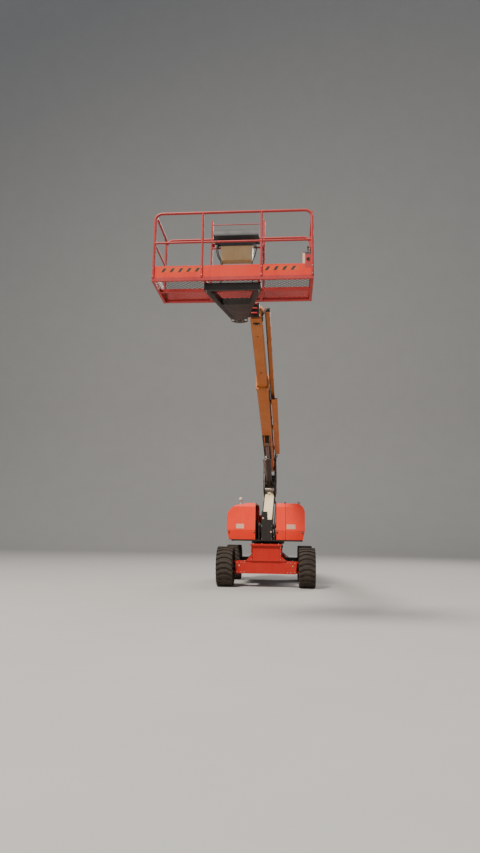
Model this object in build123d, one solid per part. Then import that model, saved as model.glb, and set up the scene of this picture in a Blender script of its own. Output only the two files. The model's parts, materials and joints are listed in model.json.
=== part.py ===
from build123d import *
import math
import os

# An articulating boom lift with a telescopic main boom, in millimetres.
# Forward, towards the work platform, is -Y, +X is the right of someone who faces the
# machine from the front, and +Z is up. The swing axis is X = Y = 0 while the pieces
# are made, and the tyres stand on Z = 0.

# Ground line
OVERALL_WIDTH = 2490
WHEELBASE = 2480
TYRE_DIAMETER = 1010
TYRE_WIDTH = 380
SHOULDER_DROP = 105
SHOULDER_IN = 26
LUG_COUNT = 24
LUG_DEPTH = 28
LUG_ROOT = 12
LUG_BAR = 54
LUG_SWEEP = 62
LUG_FLAT = 120
LUG_EDGE_IN = 8
RIM_DIAMETER = 572
RIM_WALL = 14
RIM_LIP = 18
RIM_EDGE = 12
RIM_DISC = 20
RIM_DISH = 45
DISH_RADIUS = 165
CAP_RADIUS = 100
CAP_BEVEL = 14
BEAD_SHARE = 0.78

# Fits between pieces
PIN_PLAY = 0.05
SEAT = 0.3
SIDE_PLAY = 3

# Chassis
FRAME_WIDTH = 780
FRAME_BOTTOM = 470
FRAME_TOP = 1050
FRAME_LENGTH = 2840
FRAME_WALL = 25
LIP_THICK = 38
LIP_OVERHANG = 16
GUSSET_REACH = 140
GUSSET_RISE = 130
END_RECESS = 30
END_BORDER = 28
AXLE_BOTTOM = 340
AXLE_TOP = 660
AXLE_DEPTH = 300
AXLE_WALL = 24
AXLE_FACE = 800
AXLE_TAPER = 30
NECK_LENGTH = 170
NECK_BACK = 60
BULKHEAD_DEPTH = 330
TIE_WIDTH = 110
TIE_THICK = 30
TIE_HOLE = 22
TIE_PLACE = 600

# Steering
KINGPIN_SPREAD = 1580
YOKE_RADIUS = 75
YOKE_THICK = 45
YOKE_OPENING = 190
KINGPIN_RADIUS = 28
KNUCKLE_RADIUS = 60
HUB_RADIUS = 115
HUB_START = 885
HUB_END = 1040
SPINDLE_RADIUS = 60
SPINDLE_LENGTH = 70
STEER_ARM_BACK = 215
STEER_ARM_IN = 20
STEER_ARM_THICK = 24
STEER_ROD_RADIUS = 18
STEER_BARREL_RADIUS = 45
STEER_BARREL_LENGTH = 420

# Turntable
BEARING_RADIUS = 460
BEARING_BORE = 400
DECK_CORNER = 60
DECK_BOTTOM = 1160
DECK_THICK = 30
DECK_FRONT = 960
DECK_REAR = 1560
DECK_WIDTH = 1900
CHEEK_GAP = 392
CHEEK_THICK = 25
CHEEK_FRONT = 940
CHEEK_REAR = 150
PIN_HEAD = 18
GUARD_PLATE = 20
GUARD_HALF = 146
GUARD_STEP = 21
GUARD_LOW_TOP = 1730
GUARD_HIGH_TOP = 1940
GUARD_CORNER = 12

# Hoods: one row each. The top of the left one steps up beside the boom.
HOOD_TABLE = [
    # name, side, inner edge, flank, shoulder radius, step width, step height
    ("hood_left", -1, 304, 1066, 350, 325, 40),
    ("hood_right", 1, 250, 1012, 250, 0, 0),
]
HOOD_SEAM = 500
HOOD_GROOVE = 9
HINGE_IN = 42
HINGE_DROP = 75
HINGE_PIN = 12
HINGE_EYE = 24
HINGE_POST = 40
HINGE_EAR = 16
HINGE_PLACES = (-720, 760)
LOUVRE_COUNT = 6
LOUVRE_PITCH = 46
LOUVRE_HEIGHT = 18
LOUVRE_LENGTH = 420
LOUVRE_Z = 1620
LOUVRE_Y = 420
HOOD_CREASE = 1450
HOOD_TOP = 2165
HOOD_FRONT = 1000
HOOD_LENGTH = 2060
HOOD_WALL = 25
HOOD_TUCK = 55
HOOD_BEVEL = 95

# Counterweight and what the hoods cover
WEIGHT_REAR = 1880
WEIGHT_FRONT = 1110
WEIGHT_TOP = 1900
WEIGHT_SLOT = 420
WEIGHT_CORNER = 330
WEIGHT_ROUND = 90
WEIGHT_BEVEL = 45
ENGINE_INNER = 340
ENGINE_OUTER = 860
ENGINE_FRONT = -420
ENGINE_REAR = 620
ENGINE_HEIGHT = 620
TANK_INNER = 370
TANK_OUTER = 880
TANK_TABLE = [
    # front, rear, height
    (-660, 120, 660),
    (180, 700, 560),
]
CONTROL_INNER = 320
CONTROL_OUTER = 560
CONTROL_FRONT = 860
CONTROL_DEPTH = 160
CONTROL_HEIGHT = 480
BEACON_X = -740
BEACON_Y = -560
BEACON_Z = 2240
BEACON_RADIUS = 50

# Tower boom
TOWER_PIVOT_Y = -800
TOWER_PIVOT_Z = 1550
TOWER_LENGTH = 2350
TOWER_SIZE = 260
TOWER_WALL = 12
TOWER_BOSS = 142
TOWER_ANGLE = 24.0
LINK_DROP = 200
LINK_AHEAD = 110
LINK_THICK = 20
LINK_HEIGHT = 60

# Upright
UPRIGHT_HEIGHT = 920
UPRIGHT_SET_BACK = 90
UPRIGHT_GAP = 280
UPRIGHT_PLATE = 25
HEEL_BACK = 360
HEEL_UP = 190
HEEL_BAR = 20
BACK_PLATE = 20
BACK_START = 118
BACK_LEAN = 52
BACK_LOW = 165
BACK_HIGH = 640

# Main boom, with distances along the boom from its pivot
MAIN_ANGLE = 12.6
BASE_WIDTH = 260
BASE_HEIGHT = 330
BASE_WALL = 12
BASE_TAIL = 200
BASE_LENGTH = 5745
BASE_CORNER = 38
PIVOT_ABOVE_BOTTOM = 120
FLY_WIDTH = 214
FLY_HEIGHT = 270
FLY_WALL = 10
FLY_CORNER = 30
NOSE_PIN = 8645
NOSE_SETBACK = 120
NOSE_PIN_ABOVE_BOTTOM = 100
FLY_INSIDE = 1900

# Carrier on the right of the boom
TROUGH_START = 1200
TROUGH_END = 4950
TROUGH_WIDTH = 140
TROUGH_HEIGHT = 150
TROUGH_WALL = 6
TROUGH_OFFSET = 176
TUBE_WIDTH = 75
TUBE_END_SETBACK = 200
TUBE_ARM_LENGTH = 90
TUBE_HEIGHT = 55
TUBE_PLAY = 6

# Cylinders
MAIN_CYL_BACK = 200
MAIN_CYL_UP = 330
MAIN_CYL_ALONG = 2650
MAIN_CYL_BELOW = 150
MAIN_CYL_RADIUS = 85
MAIN_CYL_BARREL = 1760
MAIN_ROD_RADIUS = 48
MAIN_ROD_START = 330
MAIN_CYL_PIN = 40
TOWER_CYL_Y = -620
TOWER_CYL_Z = 1290
TOWER_CYL_ALONG = 1500
TOWER_CYL_BELOW = 230
TOWER_CYL_RADIUS = 60
TOWER_CYL_BARREL = 930
TOWER_ROD_RADIUS = 35
TOWER_ROD_START = 240
TOWER_CYL_PIN = 28

# Platform
PLATFORM_WIDTH = 2440
PLATFORM_DEPTH = 910
PLATFORM_FLOOR = 5165
RAIL_HEIGHT = 1070
RAIL_RADIUS = 20
RAIL_CORNER = 110
MID_RAIL = 570
KICK_HEIGHT = 190
KICK_THICK = 5
ROTATOR_OFFSET = -255
ROTATOR_AHEAD = 360
PLATFORM_GAP = 580
ROTATOR_RADIUS = 95
ROTATOR_HEIGHT = 230
ROTATOR_LOW = 140
ROTATOR_BACK = 110
HEAD_DROP = 180
SHAFT_RADIUS = 40
SHAFT_LENGTH = 90
FLANGE_THICK = 24
FLOOR_DEPTH = 58
FLOOR_PLATE = 6
FLOOR_TUBE = 40
FLOOR_BARS = 2
ARM_SPREAD = 430
CONSOLE_BAR = 890
CONSOLE_BAR_RADIUS = 15
GUARD_HEIGHT = 1380
GUARD_DEPTH = 24
OUTLET_WIDTH = 125
OUTLET_DEPTH = 70
OUTLET_HEIGHT = 270
CONSOLE_LOW = 600
CONSOLE_TALL = 330
CONSOLE_TOP_HALF = 272
CONSOLE_TOP_DEEP = 190
CONSOLE_FOOT_HALF = 250
CONSOLE_FOOT_DEEP = 140
COVER_RADIUS = 168
COVER_LENGTH = 742

PARTS = {}


def put(node, shape):
    """Keeps one node's shape until all of them are written."""
    PARTS[node] = shape


def block(x, y, z):
    """A box from its low and high ends along each axis."""
    size = [b - a for a, b in (x, y, z)]
    centre = [(a + b) / 2 for a, b in (x, y, z)]
    return Pos(*centre) * Box(*size)


TURN = {"X": Rot(0, 90, 0), "Y": Rot(90, 0, 0), "Z": Rot(0, 0, 0)}


def disc(axis, centre, radius, length):
    """A cylinder along an axis, centred on a point."""
    return Pos(*centre) * TURN[axis] * Cylinder(radius, length)


def ring(axis, centre, radius, bore, length):
    """A tube along an axis, centred on a point."""
    return disc(axis, centre, radius, length) - disc(axis, centre, bore, length + 2)


def plate_x(outline, x0, x1):
    """A plate with an outline of (y, z) points, from x0 to x1."""
    face = make_face(Polyline(*outline, close=True))
    return extrude(Plane.YZ.offset(x0) * face, amount=x1 - x0)


def plate_y(outline, y0, y1):
    """A plate with an outline of (x, z) points, from y0 to y1."""
    face = make_face(Polyline(*[(x, z) for x, z in outline], close=True))
    plane = Plane(origin=(0, y0, 0), x_dir=(1, 0, 0), z_dir=(0, -1, 0))
    return extrude(plane * face, amount=-(y1 - y0))


def plate_z(outline, z0, z1):
    """A plate with an outline of (x, y) points, from z0 to z1."""
    face = make_face(Polyline(*outline, close=True))
    return extrude(Plane.XY.offset(z0) * face, amount=z1 - z0)


def lobe_plate(lobes, x0, x1):
    """A plate across X whose outline is pulled tight round (y, z, radius) lobes."""
    edges = [e for y, z, r in lobes for e in (Pos(y, z) * Circle(r)).edges()]
    return extrude(Plane.YZ.offset(x0) * make_hull(edges), amount=x1 - x0)


def both_sides(maker):
    """The same piece made at the left and at the right."""
    return maker(-1) + maker(1)


def span(side, inner, outer):
    """The X range of a piece on one side of the middle plane."""
    return tuple(sorted((side * inner, side * outer)))


def tube_path(points, radius, corner):
    """A round bar along a path of straight runs with rounded corners."""
    path = FilletPolyline(*points, radius=corner) if len(points) > 2 else Line(*points)
    section = Plane(origin=path @ 0, z_dir=path % 0) * Circle(radius)
    return sweep(section, path=path)


def bar(start, end, radius):
    """A straight round bar between two points."""
    a, b = Vector(*start), Vector(*end)
    frame = Plane(origin=a, z_dir=b - a)
    return frame.location * Pos(0, 0, (b - a).length / 2) * Cylinder(radius, (b - a).length)


def box_tube(width, low, high, start, end, wall, corner):
    """A hollow boom section along -Y, with rounded corners and open ends."""
    middle = (low + high) / 2
    plane = Plane(origin=(0, -start, middle), x_dir=(1, 0, 0), z_dir=(0, -1, 0))
    outer = RectangleRounded(width, high - low, corner)
    inner = RectangleRounded(width - 2 * wall, high - low - 2 * wall, corner - wall)
    return extrude(plane * (outer - inner), amount=end - start)


# Places that several pieces share
AXLE_FRONT_Y = -WHEELBASE / 2
AXLE_REAR_Y = WHEELBASE / 2
WHEEL_Z = TYRE_DIAMETER / 2
WHEEL_X = (OVERALL_WIDTH - TYRE_WIDTH) / 2
DECK_TOP = DECK_BOTTOM + DECK_THICK
TOWER_RAD = math.radians(TOWER_ANGLE)
TOWER_TIP_Y = TOWER_PIVOT_Y + TOWER_LENGTH * math.cos(TOWER_RAD)
TOWER_TIP_Z = TOWER_PIVOT_Z + TOWER_LENGTH * math.sin(TOWER_RAD)
MAIN_PIVOT_Y = TOWER_TIP_Y + UPRIGHT_SET_BACK
MAIN_PIVOT_Z = TOWER_TIP_Z + UPRIGHT_HEIGHT
MAIN_RAD = math.radians(MAIN_ANGLE)
BASE_LOW = -PIVOT_ABOVE_BOTTOM
BASE_HIGH = BASE_LOW + BASE_HEIGHT
BASE_MID = (BASE_LOW + BASE_HIGH) / 2
FLY_LOW = BASE_MID - FLY_HEIGHT / 2
FLY_HIGH = BASE_MID + FLY_HEIGHT / 2
NOSE_RISE = FLY_LOW + NOSE_PIN_ABOVE_BOTTOM


def on_tower(along, above):
    """The (y, z) place of a point on the tower boom at rest."""
    return (
        TOWER_PIVOT_Y + along * math.cos(TOWER_RAD) - above * math.sin(TOWER_RAD),
        TOWER_PIVOT_Z + along * math.sin(TOWER_RAD) + above * math.cos(TOWER_RAD),
    )


def on_main(along, above):
    """The (y, z) place of a point on the main boom at rest."""
    return (
        MAIN_PIVOT_Y - along * math.cos(MAIN_RAD) + above * math.sin(MAIN_RAD),
        MAIN_PIVOT_Z + along * math.sin(MAIN_RAD) + above * math.cos(MAIN_RAD),
    )


def lean_tower(shape):
    """Moves a shape made along +Y from the tower pivot to the boom's rest angle."""
    return Pos(0, TOWER_PIVOT_Y, TOWER_PIVOT_Z) * Rot(TOWER_ANGLE, 0, 0) * shape


def lean_main(shape):
    """Moves a shape made along -Y from the main pivot to the boom's rest angle."""
    return Pos(0, MAIN_PIVOT_Y, MAIN_PIVOT_Z) * Rot(-MAIN_ANGLE, 0, 0) * shape


NOSE_Y, NOSE_Z = on_main(NOSE_PIN, NOSE_RISE)
ROTATOR_Y = NOSE_Y - ROTATOR_AHEAD
MAIN_CYL_LOW = (TOWER_TIP_Y - MAIN_CYL_BACK, TOWER_TIP_Z + MAIN_CYL_UP)
MAIN_CYL_HIGH = on_main(MAIN_CYL_ALONG, BASE_LOW - MAIN_CYL_BELOW)
TOWER_CYL_LOW = (TOWER_CYL_Y, TOWER_CYL_Z)
TOWER_CYL_HIGH = on_tower(TOWER_CYL_ALONG, -TOWER_CYL_BELOW)
LINK_LOW = (TOWER_PIVOT_Y + LINK_AHEAD, TOWER_PIVOT_Z - LINK_DROP)
LINK_HIGH = (TOWER_TIP_Y + LINK_AHEAD, TOWER_TIP_Z - LINK_DROP)


# Chassis
def chassis_frame():
    half = FRAME_WIDTH / 2
    shell = block((-half, half), (-FRAME_LENGTH / 2, FRAME_LENGTH / 2), (FRAME_BOTTOM, FRAME_TOP))
    room = half - FRAME_WALL
    shell -= block(
        (-room, room),
        (-FRAME_LENGTH / 2 + BULKHEAD_DEPTH, FRAME_LENGTH / 2 - BULKHEAD_DEPTH),
        (FRAME_BOTTOM - 1, FRAME_TOP - FRAME_WALL),
    )
    flare = half + GUSSET_REACH
    for y in (AXLE_FRONT_Y, AXLE_REAR_Y):
        outline = [
            (-flare, AXLE_TOP), (flare, AXLE_TOP),
            (half, AXLE_TOP + GUSSET_RISE), (half, FRAME_TOP - 1),
            (-half, FRAME_TOP - 1), (-half, AXLE_TOP + GUSSET_RISE),
        ]
        shell += plate_y(outline, y - BULKHEAD_DEPTH / 2, y + BULKHEAD_DEPTH / 2)
        shell -= block((-flare, flare), (y - BULKHEAD_DEPTH, y + BULKHEAD_DEPTH), (0, AXLE_TOP))
    for end in (-1, 1):
        face = end * FRAME_LENGTH / 2
        deep = tuple(sorted((face - end * END_RECESS, face + end)))
        shell -= block(
            (END_BORDER - half, half - END_BORDER), deep,
            (AXLE_TOP + END_BORDER, FRAME_TOP - END_BORDER))
    edge = half + LIP_OVERHANG
    reach = FRAME_LENGTH / 2 + LIP_OVERHANG
    shell += block((-edge, edge), (-reach, reach), (FRAME_TOP, FRAME_TOP + LIP_THICK))
    return shell


def tie_down_lugs():
    """Lugs on the sides of the frame, each with a round hole across X."""
    lugs = None
    inner = FRAME_WIDTH / 2 + SEAT
    for side in (-1, 1):
        for end in (-1, 1):
            y = end * TIE_PLACE
            x = span(side, inner, inner + TIE_THICK)
            lug = lobe_plate(
                [(y - 40, FRAME_BOTTOM + 90, 30), (y + 40, FRAME_BOTTOM + 90, 30),
                 (y, FRAME_BOTTOM + 20, TIE_WIDTH / 2)], *x)
            lug -= disc("X", (sum(x) / 2, y, FRAME_BOTTOM + 20), TIE_HOLE, TIE_THICK + 2)
            lugs = lug if lugs is None else lugs + lug
    return lugs


def axle_beam(y, reach):
    depth = AXLE_DEPTH / 2
    beam = block((-reach, reach), (y - depth, y + depth), (AXLE_BOTTOM, AXLE_TOP))
    beam -= block(
        (-reach - 1, reach + 1),
        (y - depth + AXLE_WALL, y + depth - AXLE_WALL),
        (AXLE_BOTTOM + AXLE_WALL, AXLE_TOP - AXLE_WALL),
    )
    return beam


def front_axle():
    reach = KINGPIN_SPREAD / 2 - YOKE_RADIUS + 5
    beam = axle_beam(AXLE_FRONT_Y, reach)
    foot = AXLE_FACE - AXLE_TAPER
    front = AXLE_FRONT_Y - AXLE_DEPTH / 2
    beam += plate_y(
        [(-AXLE_FACE, AXLE_TOP), (AXLE_FACE, AXLE_TOP), (foot, AXLE_BOTTOM), (-foot, AXLE_BOTTOM)],
        front, front + AXLE_WALL)
    for side in (-1, 1):
        x = side * KINGPIN_SPREAD / 2
        for end in (-1, 1):
            z = WHEEL_Z + end * (YOKE_OPENING + YOKE_THICK) / 2
            ear = disc("Z", (x, AXLE_FRONT_Y, z), YOKE_RADIUS, YOKE_THICK)
            ear += block(
                span(side, reach - NECK_LENGTH - 5, KINGPIN_SPREAD / 2),
                (AXLE_FRONT_Y - YOKE_RADIUS, AXLE_FRONT_Y + YOKE_RADIUS),
                (z - YOKE_THICK / 2, z + YOKE_THICK / 2),
            )
            bore = KINGPIN_RADIUS + PIN_PLAY
            beam += ear
            beam -= disc("Z", (x, AXLE_FRONT_Y, z), bore, YOKE_THICK + 2)
        beam += block(
            span(side, reach - NECK_LENGTH - AXLE_WALL, reach - NECK_LENGTH),
            (AXLE_FRONT_Y - AXLE_DEPTH / 2 + 1, AXLE_FRONT_Y + AXLE_DEPTH / 2 - 1),
            (AXLE_BOTTOM + 1, AXLE_TOP - 1),
        )
        beam -= block(
            span(side, reach - NECK_LENGTH, reach + 1),
            (AXLE_FRONT_Y + NECK_BACK, AXLE_FRONT_Y + AXLE_DEPTH / 2 + 1),
            (AXLE_BOTTOM - 1, AXLE_TOP + 1),
        )
    return beam


def hub(side, y):
    """The drive hub and the spindle that carries a wheel."""
    hub_length = HUB_END - HUB_START
    x = side * (HUB_START + HUB_END) / 2
    drum = disc("X", (x, y, WHEEL_Z), HUB_RADIUS, hub_length)
    x = side * (HUB_END + SPINDLE_LENGTH / 2)
    return drum + disc("X", (x, y, WHEEL_Z), SPINDLE_RADIUS, SPINDLE_LENGTH)


def rear_axle():
    beam = axle_beam(AXLE_REAR_Y, HUB_START - 30)
    for side in (-1, 1):
        plate = block(
            span(side, HUB_START - 54, HUB_START),
            (AXLE_REAR_Y - AXLE_DEPTH / 2 + 1, AXLE_REAR_Y + AXLE_DEPTH / 2 - 1),
            (AXLE_BOTTOM + 1, AXLE_TOP - 1),
        )
        beam += plate + hub(side, AXLE_REAR_Y)
    return beam


def knuckle(side):
    x = side * KINGPIN_SPREAD / 2
    y = AXLE_FRONT_Y
    body = disc("Z", (x, y, WHEEL_Z), KNUCKLE_RADIUS, YOKE_OPENING - 2 * SIDE_PLAY)
    body += disc("Z", (x, y, WHEEL_Z), KINGPIN_RADIUS, YOKE_OPENING + 2 * YOKE_THICK)
    body += disc(
        "X", (side * (KINGPIN_SPREAD / 2 + HUB_START + 1) / 2, y, WHEEL_Z),
        KNUCKLE_RADIUS, HUB_START + 1 - KINGPIN_SPREAD / 2)
    arm_x = x - side * STEER_ARM_IN
    arm_y = y + STEER_ARM_BACK
    low = WHEEL_Z - STEER_ARM_THICK / 2
    edges = []
    for px, py, r in ((x, y, KNUCKLE_RADIUS - 12), (arm_x, arm_y, 34)):
        edges += (Pos(px, py) * Circle(r)).edges()
    body += extrude(Plane.XY.offset(low) * make_hull(edges), amount=STEER_ARM_THICK)
    return body + hub(side, y)


def steer_cylinder():
    """A double-ended barrel on the back of the front axle."""
    y = AXLE_FRONT_Y + STEER_ARM_BACK
    z = WHEEL_Z + STEER_ARM_THICK / 2 + STEER_BARREL_RADIUS + 12
    barrel = disc("X", (0, y, z), STEER_BARREL_RADIUS, STEER_BARREL_LENGTH)
    for side in (-1, 1):
        x = side * (STEER_BARREL_LENGTH / 2 - 40)
        barrel += block((x - 15, x + 15), (AXLE_FRONT_Y + AXLE_DEPTH / 2, y), (z - 40, z + 30))
    return barrel - disc("X", (0, y, z), STEER_ROD_RADIUS + PIN_PLAY, STEER_BARREL_LENGTH + 2)


def tie_rod():
    y = AXLE_FRONT_Y + STEER_ARM_BACK
    z = WHEEL_Z + STEER_ARM_THICK / 2 + STEER_BARREL_RADIUS + 12
    reach = KINGPIN_SPREAD / 2 - STEER_ARM_IN
    rod = disc("X", (0, y, z), STEER_ROD_RADIUS, 2 * reach)
    low = WHEEL_Z + STEER_ARM_THICK / 2 + 5
    for side in (-1, 1):
        rod += block((side * reach - 28, side * reach + 28), (y - 28, y + 28), (low, z + 22))
    return rod


# Wheels
def faceted(rows, sides):
    """A ring about X with flat sides: rows of (radius of the flats, place along X).

    A flat faces +Y, and one faces down where the sides are a multiple of four.
    """
    corner = 1 / math.cos(math.pi / sides)
    turns = [2 * math.pi * (i + 0.5) / sides for i in range(sides)]

    def place(row, i):
        radius, x = row
        turn = turns[i % sides]
        return (x, radius * corner * math.cos(turn), radius * corner * math.sin(turn))

    faces = []
    for here, there in zip(rows, rows[1:] + rows[:1]):
        for i in range(sides):
            quad = [place(here, i), place(here, i + 1), place(there, i + 1), place(there, i)]
            faces.append(make_face(Polyline(*quad, close=True)))
    return Solid(Shell(faces))


def tyre_lugs():
    """Chevron lugs that cross the whole tread, with the middle of each one flat."""
    edge = TYRE_WIDTH / 2 - LUG_EDGE_IN
    rise, flat = LUG_SWEEP / 2, LUG_FLAT / 2
    half = LUG_BAR / 2
    outline = [
        (-edge, rise - half), (-flat, -rise - half), (flat, -rise - half), (edge, rise - half),
        (edge, rise + half), (flat - 10, -rise + half), (10 - flat, -rise + half), (-edge, rise + half),
    ]
    outer = TYRE_DIAMETER / 2
    lug = plate_z(outline, -outer, -outer + LUG_DEPTH + LUG_ROOT)
    return [Rot(360 * i / LUG_COUNT, 0, 0) * lug for i in range(LUG_COUNT)]


def tyre_shape():
    """One tyre about X: a flat-sided carcass with its lugs."""
    outer = TYRE_DIAMETER / 2
    seat = RIM_DIAMETER / 2 + SEAT
    half = TYRE_WIDTH / 2
    bead = half * BEAD_SHARE
    wall = (half - bead) / (outer - SHOULDER_DROP - seat - RIM_LIP)
    foot = bead - RIM_LIP * wall
    # radius, place across the tyre
    right = [(seat, foot), (outer - SHOULDER_DROP, half), (outer - LUG_DEPTH, half - SHOULDER_IN)]
    carcass = faceted(right + [(r, -x) for r, x in reversed(right)], LUG_COUNT)
    for lug in tyre_lugs():
        carcass += lug
    return carcass


def tyre(shape, x, y):
    return Pos(x, y, WHEEL_Z) * shape


def turned(rows):
    """A solid turned about X from a closed outline of (place, radius) rows."""
    face = make_face(Polyline(*rows, close=True))
    return revolve(face, Axis.X, 360)


def rim(side, y):
    """A dished wheel with its lips, and the cap that covers the end of the hub."""
    seat = RIM_DIAMETER / 2
    inside = seat - RIM_WALL
    lip = seat + RIM_LIP
    half = TYRE_WIDTH / 2 * BEAD_SHARE + SEAT
    wheel = turned([
        (-half - RIM_EDGE, inside), (-half - RIM_EDGE, lip), (-half, lip), (-half, seat),
        (half, seat), (half, lip), (half + RIM_EDGE, lip), (half + RIM_EDGE, inside)])
    face = HUB_END + SIDE_PLAY - WHEEL_X
    out = face + RIM_DISC
    cap = HUB_END + SPINDLE_LENGTH + 12 + RIM_DISC - WHEEL_X
    wheel += turned([
        (face, 0), (face, DISH_RADIUS), (face + RIM_DISH, inside + 2), (out + RIM_DISH, inside + 2),
        (out, DISH_RADIUS), (out, CAP_RADIUS), (cap - CAP_BEVEL, CAP_RADIUS),
        (cap, CAP_RADIUS - CAP_BEVEL), (cap, 0)])
    room = SPINDLE_LENGTH + 5
    wheel -= disc("X", (HUB_END - WHEEL_X + room / 2, 0, 0), SPINDLE_RADIUS + PIN_PLAY, room)
    placed = wheel if side > 0 else mirror(wheel, Plane.YZ)
    return Pos(side * WHEEL_X, y, WHEEL_Z) * placed


# Turntable
def swing_bearing():
    low = FRAME_TOP + LIP_THICK
    return ring("Z", (0, 0, (low + DECK_BOTTOM - SEAT) / 2), BEARING_RADIUS, BEARING_BORE + SEAT,
                DECK_BOTTOM - SEAT - low)


def boom_guard():
    """The plate that stands in front of the tower boom's foot, higher at its left."""
    c = GUARD_CORNER
    outline = [
        (-GUARD_HALF, DECK_BOTTOM), (GUARD_HALF, DECK_BOTTOM), (GUARD_HALF, GUARD_LOW_TOP - c),
        (GUARD_HALF - c, GUARD_LOW_TOP), (GUARD_STEP, GUARD_LOW_TOP),
        (GUARD_STEP, GUARD_HIGH_TOP - c), (GUARD_STEP - c, GUARD_HIGH_TOP),
        (c - GUARD_HALF, GUARD_HIGH_TOP), (-GUARD_HALF, GUARD_HIGH_TOP - c),
    ]
    return plate_y(outline, -DECK_FRONT - GUARD_PLATE + 5, 5 - DECK_FRONT)


def hinge_post(x, y):
    """A post on the deck with the pin that a hood turns on."""
    z = HOOD_TOP - HINGE_DROP
    half = HINGE_POST / 2
    post = block((x - 12, x + 12), (y - half, y + half), (DECK_TOP - 1, z))
    post += disc("Y", (x, y, z), HINGE_EYE, HINGE_POST)
    return post + disc("Y", (x, y, z), HINGE_PIN, HINGE_POST + 2 * (SIDE_PLAY + HINGE_EAR))


def turntable_frame():
    half = DECK_WIDTH / 2
    corner = 260
    near = DECK_CORNER - DECK_FRONT
    deck = plate_z(
        [(-half, near), (DECK_CORNER - half, -DECK_FRONT), (half - DECK_CORNER, -DECK_FRONT),
         (half, near), (half, DECK_REAR - corner), (half - corner, DECK_REAR),
         (corner - half, DECK_REAR), (-half, DECK_REAR - corner)],
        DECK_BOTTOM, DECK_TOP)
    deck += boom_guard()
    for name, side, inner, flank, shoulder, step_width, step_height in HOOD_TABLE:
        for y in HINGE_PLACES:
            deck += hinge_post(side * (inner + HINGE_IN), y)
    low = FRAME_TOP + LIP_THICK + 2
    deck += disc("Z", (0, 0, (low + DECK_TOP) / 2), BEARING_BORE, DECK_TOP - low)
    inner = CHEEK_GAP / 2
    pin = 45
    width = CHEEK_GAP + 2 * CHEEK_THICK + 2 * PIN_HEAD

    def cheek(side):
        plate = plate_x(
            [(-CHEEK_FRONT, DECK_TOP - 1), (CHEEK_REAR, DECK_TOP - 1), (CHEEK_REAR, DECK_TOP + 90),
             (TOWER_PIVOT_Y + 140, TOWER_PIVOT_Z - 40), (TOWER_PIVOT_Y, TOWER_PIVOT_Z),
             (-CHEEK_FRONT, TOWER_PIVOT_Z - 60)], *span(side, inner, inner + CHEEK_THICK))
        plate += disc(
            "X", (side * (inner + CHEEK_THICK / 2), TOWER_PIVOT_Y, TOWER_PIVOT_Z), 120, CHEEK_THICK)
        plate += disc(
            "X", (side * (inner + TOWER_SIZE / 2 + SIDE_PLAY) / 2, TOWER_PIVOT_Y, TOWER_PIVOT_Z),
            75, inner - TOWER_SIZE / 2 - SIDE_PLAY + 2)
        link = inner - LINK_THICK - 2 * SIDE_PLAY
        plate += disc("X", (side * (inner + link) / 2, *LINK_LOW), 25, inner - link)
        return plate

    deck += both_sides(cheek)
    deck += disc("X", (0, TOWER_PIVOT_Y, TOWER_PIVOT_Z), pin, width)
    ear = TOWER_CYL_RADIUS + SIDE_PLAY

    def cylinder_ear(side):
        return lobe_plate(
            [(TOWER_CYL_LOW[0] - 60, DECK_TOP + 8, 10), (TOWER_CYL_LOW[0] + 60, DECK_TOP + 8, 10),
             (*TOWER_CYL_LOW, 55)], *span(side, ear, ear + 20))

    deck += both_sides(cylinder_ear)
    return deck + disc("X", (0, *TOWER_CYL_LOW), TOWER_CYL_PIN, 2 * ear + 40)


def counterweight():
    half = DECK_WIDTH / 2
    corner = WEIGHT_CORNER
    mass = plate_z(
        [(-half, WEIGHT_FRONT), (half, WEIGHT_FRONT), (half, WEIGHT_REAR - corner),
         (half - corner, WEIGHT_REAR), (corner - half, WEIGHT_REAR), (-half, WEIGHT_REAR - corner)],
        DECK_TOP, WEIGHT_TOP)
    upright_edges = mass.edges().filter_by(Axis.Z).filter_by(lambda e: e.center().Y > WEIGHT_FRONT + 1)
    mass = fillet(upright_edges, WEIGHT_ROUND)
    mass = chamfer(mass.faces().sort_by(Axis.Z)[-1].edges(), WEIGHT_BEVEL)
    slot = WEIGHT_SLOT / 2
    mass -= block((-slot, slot), (WEIGHT_FRONT - 1, WEIGHT_REAR + 1), (DECK_TOP + 60, WEIGHT_TOP + 1))
    return mass


def hood_shape(row, inset):
    """The outside of a hood, or its inside when it is inset by the wall."""
    name, side, inner, flank, shoulder, step_width, step_height = row
    low = DECK_TOP + SEAT - (0 if inset == 0 else 20)
    top = HOOD_TOP - inset
    brow = top - step_height
    out = flank - inset
    tuck = out - HOOD_TUCK
    lift = shoulder - inset
    start = inner - (0 if inset == 0 else 20)
    outline = [
        Line((start, low), (tuck, low)),
        Line((tuck, low), (out, HOOD_CREASE)),
        Line((out, HOOD_CREASE), (out, brow - lift)),
        CenterArc((out - lift, brow - lift), lift, 0, 90),
    ]
    if step_height > 0:
        foot = inner + step_width - inset
        outline += [
            Line((out - lift, brow), (foot, brow)),
            Line((foot, brow), (foot - step_height, top)),
            Line((foot - step_height, top), (start, top)),
        ]
    else:
        outline += [Line((out - lift, top), (start, top))]
    outline += [Line((start, top), (start, low))]
    face = make_face(outline)
    front = HOOD_FRONT - inset
    rear = HOOD_LENGTH - HOOD_FRONT - inset
    plane = Plane(origin=(0, -front, 0), x_dir=(1, 0, 0), z_dir=(0, -1, 0))
    across = extrude(plane * face, amount=-(front + rear))
    length = [
        (-front + HOOD_TUCK, low), (rear, low), (rear, top - HOOD_BEVEL),
        (rear - HOOD_BEVEL, top), (-front + HOOD_BEVEL, top), (-front + 28, top - HOOD_BEVEL),
        (-front, HOOD_CREASE),
    ]
    solid = across & plate_x(length, start - 1, out + 1)
    return solid if side > 0 else mirror(solid, Plane.YZ)


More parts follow.
